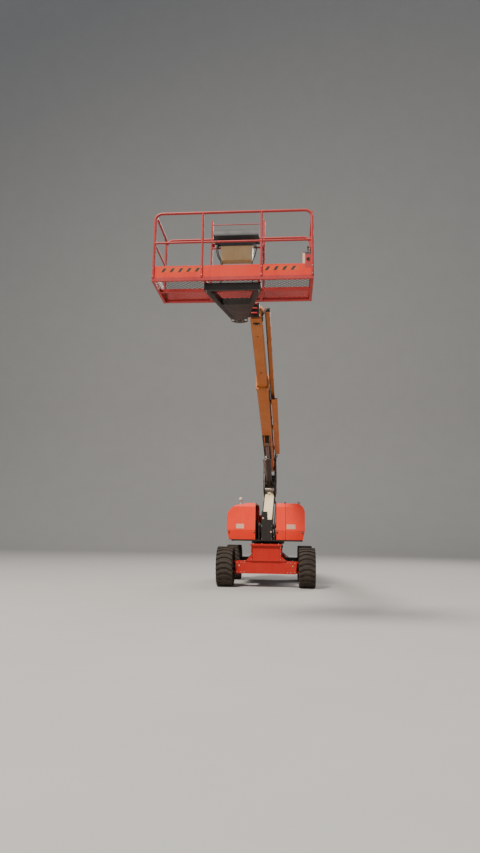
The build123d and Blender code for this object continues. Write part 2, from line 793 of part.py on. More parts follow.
def hood(row):
    """A shell with a seam groove, louvres in its flank and ears for its hinge."""
    name, side, inner, flank, shoulder, step_width, step_height = row
    outside = hood_shape(row, 0)
    inside = hood_shape(row, HOOD_WALL)
    shell = outside - inside
    groove = (outside - hood_shape(row, HOOD_GROOVE)) & block(
        span(side, HOOD_SEAM - HOOD_GROOVE / 2, HOOD_SEAM + HOOD_GROOVE / 2),
        (-2 * HOOD_LENGTH, 2 * HOOD_LENGTH), (0, 2 * HOOD_TOP))
    if step_height == 0:
        shell -= groove
    for i in range(LOUVRE_COUNT):
        z = LOUVRE_Z + (i - (LOUVRE_COUNT - 1) / 2) * LOUVRE_PITCH
        shell -= block(
            span(side, flank - 2 * HOOD_WALL, flank + 1),
            (LOUVRE_Y - LOUVRE_LENGTH / 2, LOUVRE_Y + LOUVRE_LENGTH / 2),
            (z - LOUVRE_HEIGHT / 2, z + LOUVRE_HEIGHT / 2))
    x = side * (inner + HINGE_IN)
    z = HOOD_TOP - HINGE_DROP
    for place in HINGE_PLACES:
        for end in (-1, 1):
            y = place + end * (HINGE_POST / 2 + SIDE_PLAY + HINGE_EAR / 2)
            ear = disc("Y", (x, y, z), HINGE_EYE, HINGE_EAR)
            ear += block(
                (x - HINGE_EYE + 2, x + HINGE_EYE - 2), (y - HINGE_EAR / 2, y + HINGE_EAR / 2),
                (z, HOOD_TOP - HOOD_WALL + 2))
            shell += ear - disc("Y", (x, y, z), HINGE_PIN + PIN_PLAY, HINGE_EAR + 2)
    return shell


# Tower boom, made along +Y from its pivot and then leaned back
def tower_boom():
    half = TOWER_SIZE / 2
    boom = mirror(
        box_tube(TOWER_SIZE, -half, half, 0, TOWER_LENGTH, TOWER_WALL, 24), Plane.XZ)
    for y in (0, TOWER_LENGTH):
        boom += disc("X", (0, y, 0), TOWER_BOSS, TOWER_SIZE)
        boom -= disc("X", (0, y, 0), 45 + PIN_PLAY, TOWER_SIZE + 2)
    ear = TOWER_ROD_RADIUS + SIDE_PLAY + 6

    def bracket(side):
        return lobe_plate(
            [(TOWER_CYL_ALONG - 110, -half + 6, 12), (TOWER_CYL_ALONG + 110, -half + 6, 12),
             (TOWER_CYL_ALONG, -TOWER_CYL_BELOW, 45)], *span(side, ear, ear + 20))

    return lean_tower(boom + both_sides(bracket))


def tower_links():
    """Two bars beside the tower boom that keep the upright upright."""
    inner = CHEEK_GAP / 2 - SIDE_PLAY - LINK_THICK
    links = None
    for side in (-1, 1):
        link = lobe_plate(
            [(*LINK_LOW, LINK_HEIGHT / 2 + 14), (*LINK_HIGH, LINK_HEIGHT / 2 + 14)],
            *span(side, inner, inner + LINK_THICK))
        for place in (LINK_LOW, LINK_HIGH):
            x = side * (inner + LINK_THICK / 2)
            link -= disc("X", (x, *place), 25 + PIN_PLAY, LINK_THICK + 2)
        links = link if links is None else links + link
    return links


def barrel(low, high, radius, length, eye):
    """A cylinder barrel with its base eye, from its low pin towards its high one."""
    dy, dz = high[0] - low[0], high[1] - low[1]
    full = math.hypot(dy, dz)
    uy, uz = dy / full, dz / full

    def at(distance):
        return (0, low[0] + uy * distance, low[1] + uz * distance)

    body = bar(at(eye + 2), at(length), radius - 6) + bar(at(length - 60), at(length), radius)
    body += bar(at(eye / 2), at(eye + 10), radius * 0.6)
    body += disc("X", (0, *low), eye, 2 * (radius - 10))
    return body, (uy, uz), full


def cylinder(low, high, radius, length, rod_radius, rod_start, base_pin):
    """Barrel and rod between two pins. The rod's eye is open, with no pin in it.

    The rod starts far enough up the barrel to be drawn in by its whole stroke.
    """
    eye = radius - 8
    body, (uy, uz), full = barrel(low, high, radius, length, eye)
    body -= disc("X", (0, *low), base_pin + PIN_PLAY, 2 * radius + 2)
    bore_low = (0, low[0] + uy * (eye + 30), low[1] + uz * (eye + 30))
    bore_high = (0, low[0] + uy * (length + 1), low[1] + uz * (length + 1))
    body -= bar(bore_low, bore_high, rod_radius + PIN_PLAY)
    rod_low = (0, low[0] + uy * rod_start, low[1] + uz * rod_start)
    rod = bar(rod_low, (0, high[0] - uy * 10, high[1] - uz * 10), rod_radius)
    rod += disc("X", (0, *high), rod_radius + 12, 2 * rod_radius)
    rod -= disc("X", (0, *high), rod_radius - 15, 2 * rod_radius + 2)
    return body, rod


# Upright
def upright():
    inner = UPRIGHT_GAP / 2
    y, z = TOWER_TIP_Y, TOWER_TIP_Z

    def cheek(side):
        plate = lobe_plate(
            [(y, z, 135), (*MAIN_CYL_LOW, 115), (MAIN_PIVOT_Y, MAIN_PIVOT_Z, 125),
             (y - HEEL_BACK, z + HEEL_UP, 55)], *span(side, inner, inner + UPRIGHT_PLATE))
        plate += lobe_plate([(y, z, 120), (*LINK_HIGH, 55)], *span(side, inner, inner + UPRIGHT_PLATE - 3))
        link = CHEEK_GAP / 2 - SIDE_PLAY
        reach = (inner + link) / 2
        plate += disc("X", (side * reach, *LINK_HIGH), 25, link - inner)
        for place in ((y, z), (MAIN_PIVOT_Y, MAIN_PIVOT_Z)):
            gap = inner - BASE_WIDTH / 2 - SIDE_PLAY
            plate += disc("X", (side * (inner - gap / 2), *place), 80, gap + 2)
        gap = inner - MAIN_CYL_RADIUS + 10 - SIDE_PLAY
        plate += disc("X", (side * (inner - gap / 2), *MAIN_CYL_LOW), 70, gap + 2)
        return plate

    body = both_sides(cheek)
    width = UPRIGHT_GAP + 2 * UPRIGHT_PLATE + 40
    body += disc("X", (0, y, z), 45, width)
    body += disc("X", (0, MAIN_PIVOT_Y, MAIN_PIVOT_Z), 45, width)
    body += disc("X", (0, *MAIN_CYL_LOW), MAIN_CYL_PIN, width - 30)
    body += disc("X", (0, y - HEEL_BACK - 15, z + HEEL_UP - 15), HEEL_BAR, UPRIGHT_GAP + 2)
    low, high = y + BACK_START, y + BACK_START + BACK_LEAN
    back = [(low, z + BACK_LOW), (low + BACK_PLATE, z + BACK_LOW),
            (high + BACK_PLATE, z + BACK_HIGH), (high, z + BACK_HIGH)]
    return body + plate_x(back, -inner - 1, inner + 1)


# Main boom, made along -Y from its pivot and then raised
def boom_base():
    tube = box_tube(BASE_WIDTH, BASE_LOW, BASE_HIGH, -BASE_TAIL, BASE_LENGTH, BASE_WALL, BASE_CORNER)
    tube += disc("X", (0, 0, 0), 75, BASE_WIDTH)
    tube -= disc("X", (0, 0, 0), 45 + PIN_PLAY, BASE_WIDTH + 2)
    collar = box_tube(BASE_WIDTH + 36, BASE_LOW - 18, BASE_HIGH + 18, BASE_LENGTH - 150, BASE_LENGTH, 19,
                      BASE_CORNER + 18)
    tube += collar
    pad_x = BASE_WIDTH / 2 - BASE_WALL
    pad_z = BASE_HEIGHT / 2 - BASE_WALL
    for side in (-1, 1):
        tube += block(span(side, FLY_WIDTH / 2 + SEAT, pad_x + 1), (-BASE_LENGTH, 120 - BASE_LENGTH),
                      (BASE_MID - 90, BASE_MID + 90))
        z = (BASE_MID + side * (FLY_HEIGHT / 2 + SEAT), BASE_MID + side * (pad_z + 1))
        tube += block((-70, 70), (-BASE_LENGTH, 120 - BASE_LENGTH), tuple(sorted(z)))
    ear = MAIN_ROD_RADIUS + SIDE_PLAY + 6

    def bracket(side):
        return lobe_plate(
            [(-MAIN_CYL_ALONG - 170, BASE_LOW + 4, 16), (-MAIN_CYL_ALONG + 170, BASE_LOW + 4, 16),
             (-MAIN_CYL_ALONG, BASE_LOW - MAIN_CYL_BELOW, 62)], *span(side, ear, ear + 25))

    return lean_main(tube + both_sides(bracket))


def carrier_trough():
    """The open channel beside the base section, on two stand-off brackets."""
    inner = TROUGH_OFFSET
    outer = TROUGH_OFFSET + TROUGH_WIDTH
    low = BASE_MID - TROUGH_HEIGHT / 2
    high = BASE_MID + TROUGH_HEIGHT / 2
    channel = block((inner, outer), (-TROUGH_END, -TROUGH_START), (low, high))
    channel -= block(
        (inner + TROUGH_WALL, outer - TROUGH_WALL), (-TROUGH_END - 1, -TROUGH_START + 1),
        (low + TROUGH_WALL, high + 1))
    for place in (TROUGH_START + 300, (TROUGH_START + TROUGH_END) / 2, TROUGH_END - 300):
        channel += block(
            (BASE_WIDTH / 2, inner + 1), (-place - 50, -place + 50), (BASE_MID - 40, BASE_MID + 40))
    return lean_main(channel)


def boom_fly():
    end = NOSE_PIN - NOSE_SETBACK
    tube = box_tube(FLY_WIDTH, FLY_LOW, FLY_HIGH, BASE_LENGTH - FLY_INSIDE, end, FLY_WALL, FLY_CORNER)
    tube += block((-FLY_WIDTH / 2 + 6, FLY_WIDTH / 2 - 6), (-end, -end + 16), (FLY_LOW + 6, FLY_HIGH - 6))
    half = FLY_WIDTH / 2 - 8

    def ear(side):
        plate = lobe_plate(
            [(-NOSE_PIN, NOSE_RISE, 70), (-end + 60, FLY_LOW + 40, 26), (-end + 60, FLY_HIGH - 60, 26)],
            *span(side, half - 22, half))
        return plate

    tube += both_sides(ear)
    tube -= block((-half + 22, half - 22), (-end + 17, -end + 200), (FLY_LOW + 10, FLY_HIGH - 10))
    tube += disc("X", (0, -NOSE_PIN, NOSE_RISE), 32, 2 * half)
    return lean_main(tube)


def carrier_tube():
    """The tube that the fly section carries over the trough."""
    middle = BASE_MID + TROUGH_HEIGHT / 2 + TUBE_PLAY + TUBE_HEIGHT / 2
    heights = (middle - TUBE_HEIGHT / 2, middle + TUBE_HEIGHT / 2)
    x0 = TROUGH_OFFSET - 6
    start = BASE_LENGTH - FLY_INSIDE + 600
    end = NOSE_PIN - TUBE_END_SETBACK
    tube = block((x0, x0 + TUBE_WIDTH), (-end, -start), heights)
    tube += block((FLY_WIDTH / 2, x0 + 1), (-end, -end + TUBE_ARM_LENGTH), heights)
    return lean_main(tube)


# Levelling head and rotator
def platform_head():
    """The arm from the nose pin to the rotator, kept level in use."""
    boss = 65
    inner = FLY_WIDTH / 2 - 8 - 22 - SIDE_PLAY
    head = disc("X", (0, NOSE_Y, NOSE_Z), boss, 2 * inner)
    head += block((-inner, inner), (NOSE_Y - 190, NOSE_Y), (NOSE_Z - 55, NOSE_Z + 45))
    head -= disc("X", (0, NOSE_Y, NOSE_Z), 32 + PIN_PLAY, 2 * inner + 2)
    reach = ROTATOR_OFFSET - ROTATOR_RADIUS + 30
    head += block(
        (reach, inner), (ROTATOR_Y + ROTATOR_BACK, NOSE_Y - 130), (NOSE_Z - HEAD_DROP, NOSE_Z + 45))
    return head


def rotator():
    """The rotator's housing, with a bore from below for its shaft."""
    low = PLATFORM_FLOOR - ROTATOR_LOW
    middle = low + ROTATOR_HEIGHT / 2
    body = disc("Z", (ROTATOR_OFFSET, ROTATOR_Y, middle), ROTATOR_RADIUS, ROTATOR_HEIGHT)
    body += block(
        (ROTATOR_OFFSET - ROTATOR_RADIUS, ROTATOR_OFFSET + ROTATOR_RADIUS),
        (ROTATOR_Y, ROTATOR_Y + ROTATOR_BACK), (middle - 80, middle + 80))
    shaft = disc("Z", (ROTATOR_OFFSET, ROTATOR_Y, low + SHAFT_LENGTH / 2), SHAFT_RADIUS + PIN_PLAY,
                 SHAFT_LENGTH + 2)
    return body - shaft


def platform_support():
    """The rotator's shaft, its flange and two arms that spread under the floor."""
    x, y = ROTATOR_OFFSET, ROTATOR_Y
    top = PLATFORM_FLOOR - ROTATOR_LOW - SIDE_PLAY
    low = top - FLANGE_THICK
    high = PLATFORM_FLOOR - FLOOR_DEPTH - SEAT
    arms = disc("Z", (x, y, (low + top) / 2), ROTATOR_RADIUS + 25, FLANGE_THICK)
    arms += disc("Z", (x, y, top + SHAFT_LENGTH / 2 - 2), SHAFT_RADIUS, SHAFT_LENGTH)
    near = y - ROTATOR_RADIUS - 20
    far = y - PLATFORM_GAP - PLATFORM_DEPTH + 170
    arms += block((x - 120, x + 120), (near - 60, y), (low, top))
    arms += block((x - 150, x + 150), (near - 60, near), (low, high))
    for side in (-1, 1):
        arms += plate_z(
            [(x + side * 70, near), (x + side * 150, near), (x + side * ARM_SPREAD, far),
             (x + side * (ARM_SPREAD - 80), far)], low, high)
    return arms + block((x - ARM_SPREAD, x + ARM_SPREAD), (far - 60, far), (low, high))


# Platform, with X measured from its own middle
PLATFORM_NEAR = ROTATOR_Y - PLATFORM_GAP - PLATFORM_DEPTH
PLATFORM_FAR = ROTATOR_Y - PLATFORM_GAP
HALF_WIDE = PLATFORM_WIDTH / 2


# The rails stand on the floor's frame, round the plate that people stand on
RAIL_FOOT = PLATFORM_FLOOR - FLOOR_PLATE + SEAT


def platform_floor():
    """A frame of square tubes with a plate inside the rails."""
    x, half = ROTATOR_OFFSET, HALF_WIDE - 2
    near, far = PLATFORM_NEAR + 2, PLATFORM_FAR - 2
    low, high = PLATFORM_FLOOR - FLOOR_DEPTH, PLATFORM_FLOOR - FLOOR_PLATE
    frame = block((x - half, x + half), (near, far), (low, high))
    frame -= block(
        (x - half + FLOOR_TUBE, x + half - FLOOR_TUBE), (near + FLOOR_TUBE, far - FLOOR_TUBE),
        (low - 1, high + 1))
    middle = (near + far) / 2
    frame += block((x - half + 1, x + half - 1), (middle - FLOOR_TUBE / 2, middle + FLOOR_TUBE / 2),
                   (low, high))
    for i in range(FLOOR_BARS):
        place = x + (i - (FLOOR_BARS - 1) / 2) * 2 * HALF_WIDE / (FLOOR_BARS + 1)
        frame += block((place - FLOOR_TUBE / 2, place + FLOOR_TUBE / 2), (near + 1, far - 1), (low, high))
    edge = 2 * RAIL_RADIUS + 4
    return frame + block(
        (x - HALF_WIDE + edge, x + HALF_WIDE - edge), (PLATFORM_NEAR + edge, PLATFORM_FAR - edge),
        (high - FLOOR_PLATE, PLATFORM_FLOOR))


def rail_panel(length, posts, radius=RAIL_RADIUS):
    """A rail panel in its own plane: an arch of tube, a mid rail and posts."""
    top = RAIL_HEIGHT - radius
    arch = tube_path(
        [(radius, 0, 0), (radius, 0, top), (length - radius, 0, top), (length - radius, 0, 0)],
        radius, RAIL_CORNER)
    arch += bar((radius, 0, MID_RAIL), (length - radius, 0, MID_RAIL), radius * 0.8)
    for place in posts:
        arch += bar((place, 0, 0), (place, 0, top), radius * 0.9)
    arch += block((0, length), (-KICK_THICK / 2, KICK_THICK / 2), (0, KICK_HEIGHT))
    return arch


def place_rail(panel, x, y, turn):
    return Pos(x, y, RAIL_FOOT) * Rot(0, 0, turn) * panel


def rail_front():
    panel = rail_panel(PLATFORM_WIDTH, (HALF_WIDE - 460, HALF_WIDE + 440))
    return place_rail(panel, ROTATOR_OFFSET - HALF_WIDE, PLATFORM_NEAR + RAIL_RADIUS, 0)


def rail_rear():
    panel = rail_panel(PLATFORM_WIDTH, (HALF_WIDE - 435, HALF_WIDE + 435))
    for side in (-1, 1):
        x = HALF_WIDE + side * 435
        middle = RAIL_RADIUS - 2 + GUARD_DEPTH / 2
        guard = (RAIL_RADIUS - 8, RAIL_RADIUS - 2 + GUARD_DEPTH)
        panel += block((x - 16, x + 16), guard, (0, GUARD_HEIGHT))
        panel += disc("Y", (x, sum(guard) / 2, GUARD_HEIGHT), 15.9, guard[1] - guard[0])
        panel += disc("Y", (x - side * 24, middle, 960), 32, GUARD_DEPTH - 4)
    back = CONSOLE_BAR_RADIUS - RAIL_RADIUS
    panel += bar(
        (HALF_WIDE - 435, back, CONSOLE_BAR), (HALF_WIDE + 435, back, CONSOLE_BAR), CONSOLE_BAR_RADIUS)
    level = GUARD_HEIGHT - 50
    panel += bar((HALF_WIDE - 435, middle, level), (HALF_WIDE + 435, middle, level), 7)
    return place_rail(panel, ROTATOR_OFFSET - HALF_WIDE, PLATFORM_FAR - RAIL_RADIUS, 0)


SIDE_RUN = PLATFORM_DEPTH - 4 * RAIL_RADIUS - 4


def rail_left():
    panel = rail_panel(SIDE_RUN, ())
    return place_rail(
        panel, ROTATOR_OFFSET - HALF_WIDE + RAIL_RADIUS, PLATFORM_NEAR + 2 * RAIL_RADIUS + 2, 90)


# Places along the right end, from its front corner
GATE_HINGE = 90
GATE_RUN = 620
GATE_RADIUS = 14
GATE_LOW = KICK_HEIGHT + 30
GATE_AXIS = GATE_HINGE + GATE_RADIUS + 2


def rail_right():
    """The right end, open between two posts for the gate."""
    top = RAIL_HEIGHT - RAIL_RADIUS
    opening = (GATE_HINGE, GATE_HINGE + GATE_RUN)
    panel = bar((opening[0] - 25, 0, 0), (opening[0] - 25, 0, top), RAIL_RADIUS)
    panel += bar((opening[1] + 25, 0, 0), (opening[1] + 25, 0, top), RAIL_RADIUS)
    panel += block((0, SIDE_RUN), (-KICK_THICK / 2, KICK_THICK / 2), (0, KICK_HEIGHT - 60))
    for z in (top - 20, MID_RAIL):
        panel += bar((0, 0, z), (opening[0] - 25, 0, z), RAIL_RADIUS * 0.8)
        panel += bar((opening[1] + 25, 0, z), (SIDE_RUN, 0, z), RAIL_RADIUS * 0.8)
    panel += block((opening[0] - 25, GATE_AXIS + 12), (-12, 12), (GATE_LOW - 18, GATE_LOW - SEAT))
    return place_rail(
        panel, ROTATOR_OFFSET + HALF_WIDE - RAIL_RADIUS, PLATFORM_NEAR + 2 * RAIL_RADIUS + 2, 90)


def gate():
    """A gate that swings inwards on the front post of the right end."""
    top = RAIL_HEIGHT - RAIL_RADIUS - 20
    r = GATE_RADIUS
    end = GATE_HINGE + GATE_RUN - 2 - r
    frame = tube_path(
        [(GATE_AXIS, 0, GATE_LOW), (GATE_AXIS, 0, top), (end, 0, top), (end, 0, GATE_LOW)], r, 60)
    for z in (GATE_LOW + 20, MID_RAIL):
        frame += bar((GATE_AXIS, 0, z), (end, 0, z), r * 0.9)
    return place_rail(
        frame, ROTATOR_OFFSET + HALF_WIDE - RAIL_RADIUS, PLATFORM_NEAR + 2 * RAIL_RADIUS + 2, 90)


def console_box():
    """The control console, narrower below, on the inside of the rear rail."""
    x, y = ROTATOR_OFFSET, PLATFORM_FAR - 2 * RAIL_RADIUS - SEAT
    z = PLATFORM_FLOOR + CONSOLE_LOW

    def level(half, deep, height):
        return Pos(x, y - deep / 2, z + height) * Rectangle(2 * half, deep)

    return loft([level(CONSOLE_FOOT_HALF, CONSOLE_FOOT_DEEP, 0),
                 level(CONSOLE_TOP_HALF, CONSOLE_TOP_DEEP, CONSOLE_TALL)])


def console_cover():
    """A rounded cover over the console."""
    x, y = ROTATOR_OFFSET, PLATFORM_FAR - 2 * RAIL_RADIUS - SEAT
    z = PLATFORM_FLOOR + CONSOLE_LOW + CONSOLE_TALL + SEAT
    half = COVER_LENGTH / 2
    return disc("X", (x, y - COVER_RADIUS - 2, z), COVER_RADIUS, COVER_LENGTH) & block(
        (x - half, x + half), (y - 3 * COVER_RADIUS, y), (z, z + 2 * COVER_RADIUS))


def outlet_box():
    """A socket box above the toe board in the front right corner."""
    x = ROTATOR_OFFSET + HALF_WIDE - 2 * RAIL_RADIUS - SEAT
    y = PLATFORM_NEAR + RAIL_RADIUS + KICK_THICK / 2 + SEAT
    z = PLATFORM_FLOOR + KICK_HEIGHT - 90
    return block((x - OUTLET_WIDTH, x), (y, y + OUTLET_DEPTH), (z, z + OUTLET_HEIGHT))


# Small things on the turntable
def engine_block():
    """The engine as one plain block under the right hood."""
    low = DECK_TOP + SEAT
    return block((ENGINE_INNER, ENGINE_OUTER), (ENGINE_FRONT, ENGINE_REAR), (low, low + ENGINE_HEIGHT))


def fluid_tanks():
    tanks = None
    for front, rear, height in TANK_TABLE:
        low = DECK_TOP + SEAT
        tank = block((-TANK_OUTER, -TANK_INNER), (front, rear), (low, low + height))
        tanks = tank if tanks is None else tanks + tank
    return tanks


def control_box():
    low = DECK_TOP + SEAT
    return block((CONTROL_INNER, CONTROL_OUTER), (-CONTROL_FRONT, CONTROL_DEPTH - CONTROL_FRONT),
                 (low, low + CONTROL_HEIGHT))


def beacon():
    """A dome on a stem that stands on the shoulder of the left hood."""
    stem = disc("Z", (BEACON_X, BEACON_Y, BEACON_Z - 65), 18, 130)
    dome = disc("Z", (BEACON_X, BEACON_Y, BEACON_Z + 20), BEACON_RADIUS, 60)
    dome += Pos(BEACON_X, BEACON_Y, BEACON_Z + 50) * Sphere(BEACON_RADIUS)
    return stem + dome - hood_shape(HOOD_TABLE[0], 0)


def make_chassis():
    put("chassis_frame", chassis_frame())
    put("tie_down_lugs", tie_down_lugs())
    put("front_axle", front_axle())
    put("rear_axle", rear_axle())
    put("swing_bearing", swing_bearing())
    put("steer_cylinder", steer_cylinder())
    put("tie_rod", tie_rod())
    put("knuckle_left", knuckle(-1))
    put("knuckle_right", knuckle(1))
    shape = tyre_shape()
    for side, side_name in ((-1, "left"), (1, "right")):
        for y, end_name in ((AXLE_FRONT_Y, "front"), (AXLE_REAR_Y, "rear")):
            put(f"tyre_{end_name}_{side_name}", tyre(shape, side * WHEEL_X, y))
            put(f"rim_{end_name}_{side_name}", rim(side, y))


def make_turntable():
    put("turntable_frame", turntable_frame())
    put("counterweight", counterweight())
    put("engine_block", engine_block())
    put("fluid_tanks", fluid_tanks())
    put("control_box", control_box())
    put("beacon", beacon())
    for row in HOOD_TABLE:
        put(row[0], hood(row))


def make_arm():
    put("tower_boom", tower_boom())
    put("tower_links", tower_links())
    put("upright", upright())
    put("boom_base", boom_base())
    put("carrier_trough", carrier_trough())
    put("boom_fly", boom_fly())
    put("carrier_tube", carrier_tube())
    body, rod = cylinder(
        MAIN_CYL_LOW, MAIN_CYL_HIGH, MAIN_CYL_RADIUS, MAIN_CYL_BARREL, MAIN_ROD_RADIUS,
        MAIN_ROD_START, MAIN_CYL_PIN)
    put("main_barrel", body)
    put("main_rod", rod)
    body, rod = cylinder(
        TOWER_CYL_LOW, TOWER_CYL_HIGH, TOWER_CYL_RADIUS, TOWER_CYL_BARREL, TOWER_ROD_RADIUS,
        TOWER_ROD_START, TOWER_CYL_PIN)
    put("tower_barrel", body)
    put("tower_rod", rod)


def make_platform():
    put("platform_head", platform_head())
    put("rotator", rotator())
    put("platform_support", platform_support())
    put("platform_floor", platform_floor())
    put("rail_front", rail_front())
    put("rail_rear", rail_rear())
    put("rail_left", rail_left())
    put("rail_right", rail_right())
    put("gate", gate())
    put("console_box", console_box())
    put("console_cover", console_cover())
    put("outlet_box", outlet_box())


def write_parts():
    """Sets the middle of the whole machine's footprint at the origin and writes it."""
    boxes = [shape.bounding_box() for shape in PARTS.values()]
    low = [min(getattr(b.min, axis) for b in boxes) for axis in "XYZ"]
    high = [max(getattr(b.max, axis) for b in boxes) for axis in "XYZ"]
    shift = Pos(-(low[0] + high[0]) / 2, -(low[1] + high[1]) / 2, -low[2])
    os.makedirs("parts", exist_ok=True)
    for node, shape in PARTS.items():
        export_step(shift * shape, f"parts/{node}.step")
    return shift.position


make_chassis()
make_turntable()
make_arm()
make_platform()
SHIFT = write_parts()
print("origin moved by", SHIFT)
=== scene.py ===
import json
import math

import bmesh
import bpy
from mathutils import Matrix, Vector


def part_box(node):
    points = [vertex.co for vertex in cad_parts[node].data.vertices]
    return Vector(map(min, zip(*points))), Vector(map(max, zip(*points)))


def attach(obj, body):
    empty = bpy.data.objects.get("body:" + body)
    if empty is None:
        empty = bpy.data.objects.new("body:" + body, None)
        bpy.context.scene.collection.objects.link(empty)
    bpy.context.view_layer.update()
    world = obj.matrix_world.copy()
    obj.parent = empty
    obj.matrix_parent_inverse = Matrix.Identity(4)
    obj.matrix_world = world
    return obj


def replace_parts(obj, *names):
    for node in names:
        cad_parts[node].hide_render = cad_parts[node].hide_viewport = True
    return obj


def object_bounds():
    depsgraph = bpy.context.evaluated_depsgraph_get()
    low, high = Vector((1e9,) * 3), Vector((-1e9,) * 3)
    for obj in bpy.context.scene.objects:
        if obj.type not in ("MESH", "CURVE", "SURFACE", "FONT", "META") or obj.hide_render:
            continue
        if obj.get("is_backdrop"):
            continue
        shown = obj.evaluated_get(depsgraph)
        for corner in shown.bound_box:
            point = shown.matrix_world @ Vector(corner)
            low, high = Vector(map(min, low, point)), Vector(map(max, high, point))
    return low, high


# The looks of an articulating boom lift. Lengths are in millimetres. A place is three of them,
# from the machine's own origin, on the swing axis at the ground, or from the point that its
# Shape is given; or it is a Vector in the frame's metres. Forward, to the platform, is -Y.

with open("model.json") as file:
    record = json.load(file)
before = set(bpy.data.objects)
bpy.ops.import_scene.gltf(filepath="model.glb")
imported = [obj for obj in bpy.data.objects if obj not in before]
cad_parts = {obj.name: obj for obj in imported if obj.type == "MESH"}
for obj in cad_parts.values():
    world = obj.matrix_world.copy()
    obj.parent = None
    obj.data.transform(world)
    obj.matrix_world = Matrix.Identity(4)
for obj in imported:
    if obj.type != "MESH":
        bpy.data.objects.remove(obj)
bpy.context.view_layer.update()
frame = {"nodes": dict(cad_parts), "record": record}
NODES = frame["nodes"]
JOINTS = {j["name"]: j for j in frame["record"]["behaviour"]["joints"]}


def vec(x, y, z):
    """A Vector from its three numbers."""
    return Vector((x, y, z))


def pivot(name):
    """The place of a hinge in the frame."""
    return Vector(JOINTS[name]["pos_m"])


RIGHT, BACK, UP = AXES = vec(1, 0, 0), vec(0, 1, 0), vec(0, 0, 1)
SIDES = ((-1, "left"), (1, "right"))
# the machine's own origin, and the directions along and above each boom
ORIGIN = vec(pivot("swing").x, pivot("swing").y, 0)
MAIN_ALONG = Vector(JOINTS["telescope"]["axis"]).normalized()
MAIN_UP = vec(0, MAIN_ALONG.z, -MAIN_ALONG.y)
TOWER_ALONG = (pivot("upright_level") - pivot("tower_lift")).normalized()
TOWER_UP = vec(0, -TOWER_ALONG.z, TOWER_ALONG.y)
MAIN_AXES = (RIGHT, MAIN_ALONG, MAIN_UP)
TOWER_AXES = (RIGHT, TOWER_ALONG, TOWER_UP)
# the lift cylinders' pins: along each boom from its pivot, and below its middle
MAIN_PIN, MAIN_DROP = 2650, -270
TOWER_PIN, TOWER_DROP = 1500, -230


def around(origin):
    """What turns millimetres from a point into places in the frame."""
    return lambda x, y, z: origin + vec(x, y, z) / 1000


at = around(ORIGIN)


def on_main(along, x, above):
    """A place on the main boom, from its pivot."""
    return pivot("main_lift") + (MAIN_ALONG * along + RIGHT * x + MAIN_UP * above) / 1000


def on_tower(along, x, above):
    """A place on the tower boom, from its pivot."""
    return pivot("tower_lift") + (TOWER_ALONG * along + RIGHT * x + TOWER_UP * above) / 1000


# Materials
DUST = (0.3, 0.2, 0.13)
OIL = (0.17, 0.12, 0.08)


class Nodes:
    """The shader nodes of one material."""

    def __init__(self, name):
        self.material = bpy.data.materials.new(name)
        self.material.use_nodes = True
        self.tree = self.material.node_tree
        self.shader = self.tree.nodes["Principled BSDF"].inputs
        self.coord = self.make("TexCoord").outputs["Object"]

    def make(self, kind, **values):
        """A node with its sockets and settings filled in."""
        made = self.tree.nodes.new("ShaderNode" + kind)
        for key, value in values.items():
            if key in made.inputs:
                self.feed(value, made.inputs[key])
            else:
                setattr(made, key, value)
        return made

    def feed(self, value, socket):
        """Links a socket, or sets it to a number, a row or a colour."""
        if isinstance(value, bpy.types.NodeSocket):
            self.tree.links.new(value, socket)
        elif socket.type == "RGBA":
            socket.default_value = (*value, 1.0)
        else:
            socket.default_value = value

    def noise(self, scale, detail=5.0, roughness=0.6, stretch=None):
        coord = self.coord
        if stretch:
            coord = self.make("Mapping", Vector=coord, Scale=stretch).outputs["Vector"]
        return self.make("TexNoise", Vector=coord, Scale=scale, Detail=detail,
                         Roughness=roughness).outputs["Fac"]

    def limits(self, value, low, high, out_low=0.0, out_high=1.0):
        made = self.make("MapRange")
        for key, number in (("Value", value), ("From Min", low), ("From Max", high),
                            ("To Min", out_low), ("To Max", out_high)):
            self.feed(number, made.inputs[key])
        return made.outputs["Result"]

    def maths(self, operation, a, b):
        made = self.make("Math", operation=operation)
        self.feed(a, made.inputs[0])
        self.feed(b, made.inputs[1])
        return made.outputs[0]

    def blend(self, factor, a, b):
        made = self.make("Mix", data_type="RGBA")
        for place, value in ((0, factor), (6, a), (7, b)):
            self.feed(value, made.inputs[place])
        return made.outputs[2]

    def z_of(self, vector):
        return self.make("SeparateXYZ", Vector=vector).outputs["Z"]

    def rounded(self, edge):
        """The surface's normal with its edges rounded."""
        return self.make("Bevel", Radius=edge, samples=4).outputs["Normal"]

    def finish(self, colour, gloss, normal, height, strength, distance):
        """Feeds the shader and returns the material."""
        bump = self.make("Bump", Strength=strength, Distance=distance, Height=height,
                         Normal=normal)
        for key, value in (("Base Color", colour), ("Roughness", gloss),
                           ("Normal", bump.outputs["Normal"])):
            self.feed(value, self.shader[key])
        return self.material


